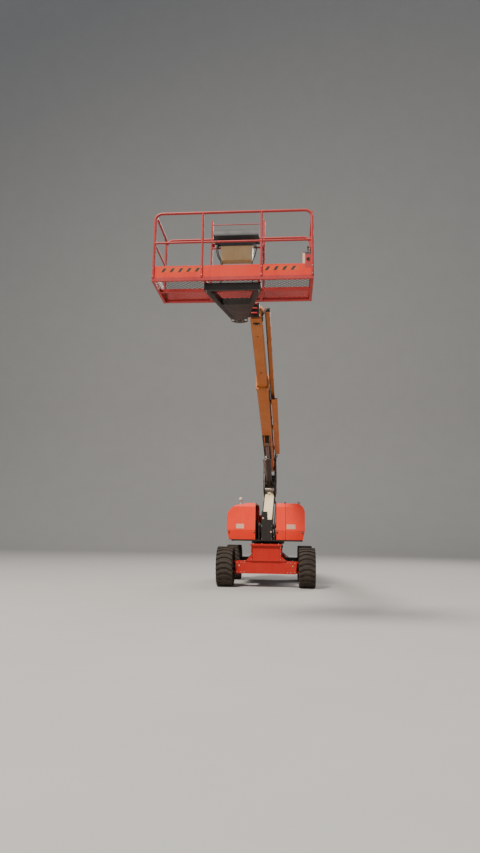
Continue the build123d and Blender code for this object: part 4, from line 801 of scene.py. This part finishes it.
def upright():
    tip, top = pivot("upright_level"), pivot("main_lift")
    parts = Shape("upright_fittings", "upright_body", "steel black sleeve hose pale braid",
                  around(tip))
    for side in (-1, 1):
        out = RIGHT * side
        for pin in (tip, top):
            parts.turned(pin + out * 0.166, out, disc(58, 5, (7, 52)), 28, 1)
            parts.turned(pin + out * 0.184, out, disc(42, 3, (5, 36)), 24, 0)
            parts.bolts(pin + out * 0.172, out, 51, 3, 6)
        parts.turned((side * 165, -200, 330), out, disc(50, 5, (7, 44)), 24, 1)
        parts.turned((side * 169, -200, 330), out, disc(30, 3, (4, 24)), 20, 4)
        # stiffening strips along the cheek's edges
        x = side * 167
        parts.strip((x, 120, 100), (x, 190, 860), 5, 22)
        parts.strip((x, -290, 260), (x, 0, 840), 5, 22)
    # hoses up the left cheek in a braided sleeve, and up the right one
    for k in range(2):
        x = -177 - 17 * k
        parts.hose([(x, 150 - 50 * k, 60), (x, 60, 200), (x - 6, 0, 450), (x, 30, 700),
                    (x + 4, -100, 980), (x, -260, 1080)], 9, 5 - 2 * k)
    for k in range(2):
        x = 176 + 18 * k
        parts.hose([(x, 200, 50), (x, 100, 250), (x + 6, 40, 500), (x, 60, 750),
                    (x - 3, -120, 1000), (x, -300, 1060)], 9, 2)
    for side in (-1, 1):
        for y, z in ((70, 200), (0, 450), (35, 720)):
            parts.block((side * 185, y, z), (38, 60, 20), 1)
            parts.bolt((side * 172, y + 20, z + 10), UP, 6)
    # the pale cross strip and the bolts of the back plate
    parts.turned((-139, -375, 175), RIGHT, disc(23, 278), 20, 4)
    for z in (250, 400, 550):
        for x in (-100, 100):
            parts.bolt((x, 117 + 52 * (z - 165) / 475, z), -BACK, 8)
    parts.done(1)


CARRIER_LINKS, LINK_PITCH = 60, 61


def main_boom():
    parts = Shape("boom_base_fittings", "main_boom", "steel black boom hose sleeve grey pale",
                  on_main, MAIN_AXES)
    for side in (-1, 1):
        out = RIGHT * side
        for a in (5625, 5670, 5715):
            for h in (-20, 45, 110):
                parts.bolt((a, side * 148, h), out, 9)
        for x in (-70, 0, 70):
            for a in (5640, 5700):
                parts.bolt((a, x, 228), MAIN_UP, 9)
                parts.bolt((a, x, -138), -MAIN_UP, 9)
        # welded seams, the collar's edge and the pivot's boss
        for h in (-84, 174):
            parts.block((2700, side * 131, h), (4, 5600, 6), 2)
        parts.block((5593, side * 139, 45), (18, 6, 300), 2)
        parts.turned((0, side * 130, 0), out, disc(74, 2.5, (2.5, 56)), 36, 2)
        # the lift cylinder's bracket
        parts.block((MAIN_PIN, side * 87, -118), (8, 330, 8), 2)
        parts.turned((MAIN_PIN, side * 82, MAIN_DROP), out, disc(44, 8, (10, 38)), 24, 1)
        parts.bolts((MAIN_PIN, side * 91, MAIN_DROP), out, 32, 3, 6)
        # the bracket's black cheeks
        parts.plate([(a, side * 82.5, h) for a, h in
                     ((2480, -124), (2820, -124), (2730, -318), (2570, -318))],
                    (3 * side, 0, 0), 1)
    # a thin black sheet on the boom's underside, from 980 to 2880 along, darkens it there
    parts.block((1930, -29, -122), (200, 1900, 4), 1)
    for a in (1100, 1600, 2100, 2860):
        for x in (-118, 58):
            parts.bolt((a, x, -124), -MAIN_UP, 7, 1)
    # the tail's cover with its adjusters
    parts.block((-196, 0, 45), (226, 8, 296), 2)
    for x, h in ((-70, 130), (70, 130), (-70, -40), (70, -40)):
        parts.bolt((-200, x, h), -MAIN_ALONG, 12)
    parts.turned((-200, 0, 45), -MAIN_ALONG, disc(46, 6, (9, 38), (9, 22), (24, 22)), 24, 1)
    # hoses into the carrier and their bracket
    for k in range(4):
        parts.hose([(-120, 148 + 10 * k, -20 + 18 * k), (300, 152 + 8 * k, 20 * k),
                    (800, 170 + 14 * k, 10 + 18 * k), (1190, 196 + 22 * k, 20 + 16 * k)],
                   9, 3 + (k == 2))
    for a, x in ((60, 165), (520, 170)):
        parts.block((a, x, 22), (66, 30, 96), 1)
    parts.block((1206, 246, 45), (132, 8, 138), 1)
    parts.block((1166, 250, -22), (66, 76, 56), 6)
    parts.turned((1130, 250, -22), -MAIN_ALONG, disc(24, 20, (24, 18), (60, 18)), 16, 1)
    parts.hose([(1080, 250, -22), (980, 246, -20), (700, 205, 0), (300, 190, 10), (60, 176, 0)],
               11, 4)
    # carrier links in the open trough
    for i in range(CARRIER_LINKS):
        a = 1260 + i * LINK_PITCH
        for x in (192, 300):
            parts.block((a, x, 12), (7, 56, 62), 1)
        for h in (38, -14):
            parts.block((a, 246, h), (104, 14, 5), 1)
    for k in range(4):
        parts.hose([(a, 216 + 20 * k, 10) for a in (1230, 3000, 4930)], 9, 3, steps=2)
    for a in (1500, 3075, 4650):
        parts.block((a, 172, 45), (12, 116, 100), 1)
        for h in (20, 70):
            for b in (-40, 40):
                parts.bolt((a + b, 170, h), RIGHT, 7)
    # dark clamps on the right side
    for a in (2200, 3600, 5100):
        parts.block((a, 140, 90), (20, 44, 60), 1)
        parts.turned((a, 150, 90), RIGHT, disc(12, 8, (10, 8)), 12, 0)
    parts.hose([(a, 140, 92) for a in (200, 2200, 3600, 5100, 5580)], 9, 3, steps=2)
    parts.block((5560, -136, 100), (14, 90, 60), 5)
    parts.block((-60, 0, 216), (150, 120, 12), 1)
    parts.done(1)


def fly():
    parts = Shape("fly_fittings", "fly", "steel black boom hose sleeve pale", on_main, MAIN_AXES)
    for side in (-1, 1):
        out = RIGHT * side
        for h in (-62, 152):
            parts.block((7200, side * 108, h), (3, 2560, 5), 2)
        parts.block((8519, side * 104, 45), (10, 12, 250), 2)
        parts.turned((8645, side * 99, 10), out, disc(46, 6, (8, 40)), 28, 1)
        parts.turned((8645, side * 103, 10), out, [(4, 30), (8, 30), (10, 24)], 24, 0)
        parts.bolts((8645, side * 107, 10), out, 38, 3, 6)
    parts.turned((6420, 0, -90), -MAIN_UP, disc(20, 4, (5, 14)), 16, 1)
    parts.turned((7900, 0, -90), -MAIN_UP, disc(14, 4, (5, 9)), 16, 1)
    # the carrier tube's seams and clamps
    for a in range(4700, 8300, 450):
        parts.block((a, 207.5, 153.5), (82, 26, 60), 2)
        parts.bolt((a, 249, 153.5), RIGHT, 6)
    parts.block((4452, 207.5, 153.5), (84, 26, 64), 1)
    parts.block((8440, 207.5, 153.5), (84, 30, 64), 1)
    # the black strip on the tube's inner side, with its clips: painted shade of the gap between
    # the tube and the boom
    parts.block((6445, 161, 153), (16, 3960, 40), 1)
    for a in (5900, 7300):
        parts.block((a, 162, 148), (22, 90, 58), 1)
    # hoses out of the carrier to the nose
    for k in range(4):
        parts.hose([(8450, 186 + 13 * k, 150), (8530, 180 + 12 * k, 130 - 6 * k),
                    (8560, 140 + 8 * k, 60 - 10 * k), (8540, 118, 10 - 18 * k),
                    (8440, 113, -30 - 12 * k)], 8, 3 + (k == 1))
    parts.block((8430, 116, -46), (20, 30, 76), 1)
    # the lamp bracket and plug under the nose
    parts.block((8360, 0, -96), (120, 60, 12), 1)
    for x in (-40, 40):
        parts.bolt((8360, x, -102), -MAIN_UP, 8)
    parts.done(1)


def cylinders():
    """Glands, ports, lines and rod eyes of the two lift cylinders."""
    for name, high, radius, rod, length in (
            ("main", on_main(MAIN_PIN, 0, MAIN_DROP), 79, 48, 1760),
            ("tower", on_tower(TOWER_PIN, 0, TOWER_DROP), 54, 35, 930)):
        low = pivot(f"{name}_barrel_turn")
        ahead = (high - low).normalized()
        above = ahead.cross(RIGHT) if ahead.cross(RIGHT).z > 0 else RIGHT.cross(ahead)
        barrel = Shape(f"{name}_barrel_fittings", f"{name}_barrel_body",
                       "steel black hose chrome", axes=(RIGHT, ahead, above))
        gland = low + ahead * (length / 1000)
        barrel.turned(gland - ahead * 0.06, ahead, [
            (0, radius + 5.6), (8, radius + 6.6), (52, radius + 6.6), (58, radius + 4)], 36, 1)
        for i in range(4):
            turn = math.pi * (i + 0.5) / 2
            out = RIGHT * math.cos(turn) + above * math.sin(turn)
            barrel.block(gland - ahead * 0.032 + out * ((radius + 5) / 1000), (18, 26, 18))
        barrel.turned(gland, ahead, disc(rod + 14, 6, (9, rod + 1)), 32)
        for share in (0.12, 0.34, 0.6, 0.86):
            barrel.turned(low + ahead * (length * share / 1000), ahead, [
                (0, radius + 1.5), (6, radius + 3), (26, radius + 3), (32, radius + 1.5)], 36, 1)
        # the steel line along the barrel to its gland, with its port blocks
        near, far = low + ahead * 0.2, gland - ahead * 0.1
        offset = -RIGHT * ((radius + 12) / 1000)
        barrel.hose([near + offset, near * 0.5 + far * 0.5 + offset, far + offset], 7, 0, steps=3)
        for place in (near, far):
            barrel.block(place - RIGHT * ((radius + 4) / 1000), (30, 46, 34), 1)
        barrel.block(near + above * ((radius + 10) / 1000), (56, 96, 44), 1)
        barrel.hose([near + above * ((radius + out) / 1000) - ahead * back
                     for out, back in ((26, 0), (40, 0.05), (12, 0.1))], 8, 2)
        barrel.done(1)
        eye = Shape(f"{name}_rod_fittings", f"{name}_rod_body", "steel black")
        for way in (-1, 1):
            eye.turned(high + RIGHT * (way * rod / 1000), RIGHT * way,
                       disc(rod + 6, 2.5, (2.5, rod - 10)), 28, 1)
        eye.bolt(high + ahead * ((rod + 12) / 1000), ahead, 7)
        eye.turned(high - ahead * ((rod + 26) / 1000), ahead, [
            (0, rod + 3), (5, rod + 7), (14, rod + 7), (18, rod + 3)], 32, 1)
        eye.done()


tower()
upright()
main_boom()
fly()
cylinders()


# Platform: millimetres from the floor's front edge, on its middle and at its top
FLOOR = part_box("platform_floor")
DECK = vec((FLOOR[0].x + FLOOR[1].x) / 2, FLOOR[0].y, FLOOR[1].z)
HALF = (FLOOR[1].x - FLOOR[0].x) * 500
DEEP = (FLOOR[1].y - FLOOR[0].y) * 1000
TALL = (FLOOR[1].z - FLOOR[0].z) * 1000
# the mesh inside the frame of square tube, and its openings
INSET, TUBE = 43, 40
MESH_PITCH, MESH_ROW, STRAND = 76, 32, 6
on_deck = around(DECK)


def box_from(name, origin):
    """The corners of a solid's box, in millimetres from a point."""
    return [(corner - origin) * 1000 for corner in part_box(name)]


def floor_mesh():
    """Expanded metal on a frame of tube, in place of the plain floor."""
    floor = Shape("platform_floor_mesh", "platform", "rail dark steel", on_deck)
    rows = int((DEEP - 2 * INSET) / MESH_ROW)
    columns = int((2 * HALF - 2 * INSET) / MESH_PITCH) * 2
    step_y = (DEEP - 2 * INSET) / rows
    step_x = (2 * HALF - 2 * INSET) / columns
    for row in range(rows):
        places, faces = [], []
        for i in range(columns + 1):
            lift = (1 if (i + row) % 2 else -1) / 2
            y = INSET + (row + 0.5 + lift) * step_y
            places += [(INSET - HALF + i * step_x, y + dy, z)
                       for dy in (-STRAND / 2, STRAND / 2) for z in (-4.5, -0.5)]
        for s in range(0, columns * 4, 4):
            e = s + 4
            faces += [(s, e, e + 1, s + 1), (s + 2, s + 3, e + 3, e + 2),
                      (s, s + 2, e + 2, e), (s + 1, e + 1, e + 3, s + 3)]
        floor.add(places, faces, 1)
    # the frame of square tube, and a flat strip round the mesh
    tall = TALL - 6
    z = -6 - tall / 2
    for y, less in ((TUBE / 2, 0), (DEEP / 2, 4), (DEEP - TUBE / 2, 0)):
        floor.block((0, y, z), (2 * HALF - less, TUBE, tall))
    for x in (TUBE / 2 - HALF, HALF - TUBE / 2, -406.7, 406.7):
        floor.block((x, DEEP / 2, z), (TUBE, DEEP - 4, tall - 1))
    for y in (INSET + 7, DEEP - INSET - 7):
        floor.block((0, y, -2.8), (2 * (HALF - INSET), 14, 5.4))
    for side in (-1, 1):
        floor.block((side * (HALF - INSET - 7), DEEP / 2, -2.8), (14, DEEP - 2 * INSET, 5.4))
    for x in (-1100, -700, -100, 100, 700, 1100):
        for y in (20, DEEP - 20):
            floor.bolt((x, y, -TALL), -UP, 8, 2)
    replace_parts(floor.done(), "platform_floor")


def kick_stripes():
    """Slanted hazard marks on the toe board, in two groups, as is common."""
    y = box_from("rail_front", DECK)[0].y + 17.5
    low, high, pitch = 88, 150, 128
    stripes = Shape("toe_board_stripes", "platform", "band stripe board", on_deck)
    edge = HALF - 34
    stripes.plate([(x, y, z) for x, z in ((-edge, 4), (edge, 4), (edge, 186), (-edge, 186))],
                  (0, -0.3, 0), 2)
    for start, count in ((-1080, 5), (490, 4)):
        left, right = start - 20, start + count * pitch
        stripes.plate([(left, y, low - 8), (right, y, low - 8), (right, y, high + 8),
                       (left, y, high + 8)], (0, -0.6, 0))
        for x in range(start, right, pitch):
            mark = [(x + 40, high), (x + 85, high), (x + 45, low), (x, low)]
            stripes.plate([(u, y - 0.6, z) for u, z in mark], (0, -0.7, 0), 1)
    stripes.done()


def rails():
    """The feet and bolts of the rails, the console's cowl, and the socket box."""
    parts = Shape("platform_fittings", "platform",
                  "steel rail black hose red label yellow grey pale", on_deck)
    # post feet, bolts of the toe boards and lanyard rings
    for y, way, posts in ((18, -1, (-1200, -460, 440, 1200)),
                          (DEEP - 18, 1, (-1200, -435, 435, 1200))):
        for x in posts:
            parts.turned((x, y, -4), UP, disc(27, 10, (14, 21)), 20, 1)
            for z in (30, 150):
                parts.bolt((x, y + way * 17, z), BACK * way, 7)
            parts.turned((x, y, 560), UP, [(0, 19.5), (4, 21.5), (14, 21.5), (18, 19.5)], 20, 1)
    for side in (-1, 1):
        for y in (120, DEEP / 2, DEEP - 120):
            parts.bolt((side * (HALF - 15), y, 50), RIGHT * side, 7)
    # guard posts: hinge lumps and the thin bar's ends
    for side in (-1, 1):
        for z in (300, 620, 960, 1200):
            parts.bolt((side * 435, DEEP + 23, z), BACK, 7)
        parts.turned((side * 411, DEEP + 20, 960), BACK, disc(20, 5, (7, 14)), 20, 2)
    # the bolts of the console's cover
    low, high = box_from("console_box", DECK)
    cover = box_from("console_cover", DECK)
    mid = (low + high) / 2
    brim = cover[0].z
    for i in range(6):
        x = cover[0].x + 70 + i * (cover[1].x - cover[0].x - 140) / 5
        parts.bolt((x, cover[1].y - 12, brim + 30), BACK, 6)
    # the dark cowl under the cover, tapered onto the box
    y0, y1 = low.y - 12, high.y + 12
    places = [(mid.x + i * half, y, z)
              for half, z in ((300, brim + 6), (300, brim - 20), (262, brim - 100))
              for i, y in ((-1, y0), (1, y0), (1, y1), (-1, y1))]
    faces = [(4 * r + k, 4 * r + (k + 1) % 4, 4 * r + 4 + (k + 1) % 4, 4 * r + 4 + k)
             for r in range(2) for k in range(4)]
    parts.add(places, [*faces, (3, 2, 1, 0), (8, 9, 10, 11)], 7)
    # cable loops beside the console and bolts on its front
    for side in (-1, 1):
        for k in range(3):
            turn = math.pi * (k + 1) / 4
            parts.bolt((cover[side > 0].x, (cover[0].y + cover[1].y) / 2 + 130 * math.cos(turn),
                        brim + 130 * math.sin(turn)), RIGHT * side, 7)
        for k in range(2 if side < 0 else 1):
            x = mid.x + side * (285 + 22 * k)
            parts.hose([(x, high.y - 50, brim - 20), (x + side * 35, high.y - 100, brim - 100),
                        (x + side * 10, high.y - 80, low.z + 100),
                        (x - side * 40, high.y - 20, low.z - 20),
                        (x - side * 30, high.y - 12, 200)], 8, 3)
    for x in (-200, 200):
        for z in (50, 270):
            parts.bolt((mid.x + x, low.y + 12 + 45 * (330 - z) / 330, low.z + z), -BACK, 6)
    # the socket box with its lever and sockets
    low, high = box_from("outlet_box", DECK)
    mid = (low + high) / 2
    half = (high.x - low.x) / 2
    face = mid.x + 0.3 * half
    parts.block((face, low.y - 3, mid.z - 12), (half * 1.4, 6, 216), 1)
    parts.block((low.x + 0.3 * half, low.y - 2, mid.z), (half * 0.6, 4, 236), 5)
    parts.turned((face, low.y - 6, mid.z + 20), -BACK,
                 disc(26, 5, (8, 21), (8, 15), (3, 13)), 20, 2)
    parts.turned((mid.x + 20, mid.y, high.z), UP, [
        (0, 16), (8, 16), (12, 8), (70, 7), (74, 12), (100, 12), (104, 8)], 14, 2)
    parts.hose([(mid.x, high.y, low.z + 20), (mid.x - 20, high.y + 40, low.z - 30),
                (mid.x - 100, high.y + 30, 20), (mid.x - 300, high.y + 10, 12)], 8, 3)
    # blank plate on the far toe board
    parts.block((560, DEEP - 14.5, 70), (190, 3, 70), 5)
    parts.done(1)


def gate():
    """The gate's hinges and latch."""
    low, high = box_from("gate", DECK)
    parts = Shape("gate_fittings", "gate_body", "steel black rail yellow", on_deck)
    x, y = (low.x + high.x) / 2, high.y - 30
    for z in (100, 420, 720):
        parts.turned((x, low.y + 14, low.z + z), UP, [(0, 14.5), (3, 18), (42, 18), (45, 14.5)],
                     18, 2)
    parts.block((x, y, high.z - 300), (20, 24, 90), 1)
    parts.turned((x - 10, y, high.z - 280), -RIGHT, disc(9, 26, (26, 14), (34, 14)), 12)
    for z in (303, 330):
        parts.bolt((x - 10, y, high.z - z), -RIGHT, 5)
    parts.done(1)


def nose():
    """The levelling head, the rotator and the arms under the floor."""
    low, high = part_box("rotator")
    centre = vec((low.x + high.x) / 2, low.y + 0.095, (low.z + high.z) / 2)
    parts = Shape("head_fittings", "head", "steel black pale red hose sleeve", around(centre))
    top = (high.z - centre.z) * 1000
    parts.turned((0, 0, top), UP, disc(84, 8, (12, 76), (12, 40), (22, 40), (24, 34)), 36, 1)
    parts.bolts((0, 0, top + 8), UP, 64, 8, 8)
    # the pale end discs of the rotator and its ribs
    for side in (-1, 1):
        parts.turned((side * 94, 30, 12), RIGHT * side,
                     disc(32, 12, (18, 26), (18, 14), (24, 14)), 24, 2)
        for z in (-18, 25, 70):
            parts.block((side * 80, 70, z), (34, 70, 6), 1)
    # the pale bar and the red rungs beside the boom, and the hoses
    low, high = box_from("platform_head", centre)
    flange, roof = box_from("platform_support", centre)
    middle = (ORIGIN.x - centre.x) * 1000
    x, y = high.x + 12, high.y - 260
    parts.block((middle - 80, y - 66, high.z - 90), (26, 12, 190), 2)
    for k in range(3):
        parts.turned((middle - 68, y - 68, high.z - 42 - 85 * k), RIGHT,
                     [(0, 11), (4, 14), (104, 14), (108, 11)], 16, 3)
    for k in range(3):
        parts.hose([(x - 30 - 30 * k, high.y - 60, low.z + 100), (x - 40 - 30 * k, y, roof.z + 22),
                    (100, 130, roof.z + 22 + 4 * k), (70, 110, 20 + 30 * k)], 7, 4 + (k == 1))
    for z in (20, 90, 160):
        parts.bolt((low.x + 50, low.y, low.z + z), -BACK, 8)
    parts.done(1)
    arms = Shape("support_fittings", "platform", "steel black rail pale", around(centre))
    low, top = flange.z, roof.z
    mid, tall = (low + top) / 2, top - low
    arms.bolts((0, 0, low), -UP, 60, 8, 7)
    arms.turned((0, 0, low), -UP, disc(42, 4, (6, 36), (6, 20), (9, 20)), 32, 1)
    web = [(-120, -100), (120, -100), (168, -200), (190, -420), (262, -760), (-262, -760),
           (-190, -420), (-168, -200)]
    foot = [(-142, -100), (-142, 40), (-90, 94), (90, 94), (142, 40), (142, -100)] + web[2:]
    for z, form in ((low + 0.5, foot), (top - 7.5, web)):
        arms.plate([(x, y, z) for x, y in form], (0, 0, 5), 1)
    for side in (-1, 1):
        # pale plugs under the ends of the cross tube
        arms.turned((side * 110, -50, low), -UP, disc(27, 7, (10, 22), (10, 12), (14, 12)), 24, 3)
        arms.block((side * 128, -50, mid), (24, 140, tall - 4), 1)
    arms.block((0, -757, mid), (500, 8, tall - 2), 1)
    for side in (-1, 1):
        start, stop = vec(side * 110, -130, low - 1), vec(side * 390, flange.y + 80, low - 1)
        ahead = (stop - start).normalized()
        x, y, z = (start + stop) / 2
        axes = (ahead.cross(UP), ahead, UP)
        length = (stop - start).length
        arms.block((x, y, z), (30, length, 6), 1, axes)
        arms.block((x, y, z + tall - 1), (26, length * 0.8, 2), 1, axes)
        for y in (flange.y + 30, flange.y + 90):
            arms.bolt((side * 400, y, low), -UP, 10)
            arms.bolt((side * 200, flange.y + 30, low), -UP, 10)
    arms.done(1)


floor_mesh()
kick_stripes()
rails()
gate()
nose()


# Stage, light and camera
def stage_floor():
    """A pale floor that curves up into a backdrop."""
    rows = [(-40, 0), (26, 0)]
    radius = 12
    for i in range(1, 13):
        turn = math.radians(90 * i / 12)
        rows.append((26 + radius * math.sin(turn), radius * (1 - math.cos(turn))))
    rows.append((38, 70))
    data = bpy.data.meshes.new("stage_floor")
    places = [(x, y, z) for y, z in rows for x in (-60, 60)]
    faces = [(2 * i, 2 * i + 1, 2 * i + 3, 2 * i + 2) for i in range(len(rows) - 1)]
    data.from_pydata(places, [], faces)
    data.polygons.foreach_set("use_smooth", [True] * len(faces))
    made = bpy.data.objects.new("stage_floor", data)
    bpy.context.scene.collection.objects.link(made)
    paint = Nodes("stage_floor")
    grey = paint.blend(paint.noise(0.8), (0.38, 0.37, 0.355), (0.42, 0.41, 0.395))
    paint.feed(grey, paint.shader["Base Color"])
    paint.shader["Roughness"].default_value = 0.9
    data.materials.append(paint.material)
    made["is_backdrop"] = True


def area_light(name, place, aim, size, power, colour):
    light = bpy.data.lights.new(name, "AREA")
    light.size, light.energy, light.color = size, power, colour
    made = bpy.data.objects.new(name, light)
    bpy.context.scene.collection.objects.link(made)
    made.location = place
    made.rotation_mode = "QUATERNION"
    made.rotation_quaternion = (Vector(aim) - Vector(place)).to_track_quat("-Z", "Y")


def camera():
    """The camera of the photograph, at its place in the machine's frame."""
    yaw, pitch, roll = (math.radians(v) for v in (-4.807, 9.866, 0.885))
    ahead = vec(math.sin(yaw) * math.cos(pitch), math.cos(yaw) * math.cos(pitch),
                math.sin(pitch))
    right = vec(math.cos(yaw), -math.sin(yaw), 0)
    up = right.cross(ahead)
    turned_right = right * math.cos(roll) + up * math.sin(roll)
    turned_up = up * math.cos(roll) - right * math.sin(roll)
    data = bpy.data.cameras.new("photo_camera")
    data.sensor_width = 36
    # 603.67 pixels of focal length, in a picture 853 pixels tall
    data.lens = 36 * 603.67 / 853
    data.clip_end = 300
    made = bpy.data.objects.new("photo_camera", data)
    bpy.context.scene.collection.objects.link(made)
    turn = Matrix((turned_right, turned_up, -ahead)).transposed()
    made.matrix_world = Matrix.Translation(at(615.5, -17313.1, 1402.1)) @ turn.to_4x4()
    bpy.context.scene.camera = made


stage_floor()
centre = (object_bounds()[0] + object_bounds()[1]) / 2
area_light("key", (-9, -14, 27), centre, 6, 15000, (1.0, 0.94, 0.84))
area_light("fill", (4, -26, 9), centre, 10, 1000, (0.94, 0.96, 1.0))
area_light("rim", (7, 15, 16), centre, 8, 2200, (1.0, 0.96, 0.9))
world = bpy.data.worlds.new("studio")
bpy.context.scene.world = world
world.use_nodes = True
world.node_tree.nodes["Background"].inputs["Color"].default_value = (0.84, 0.89, 0.96, 1)
world.node_tree.nodes["Background"].inputs["Strength"].default_value = 0.38
camera()
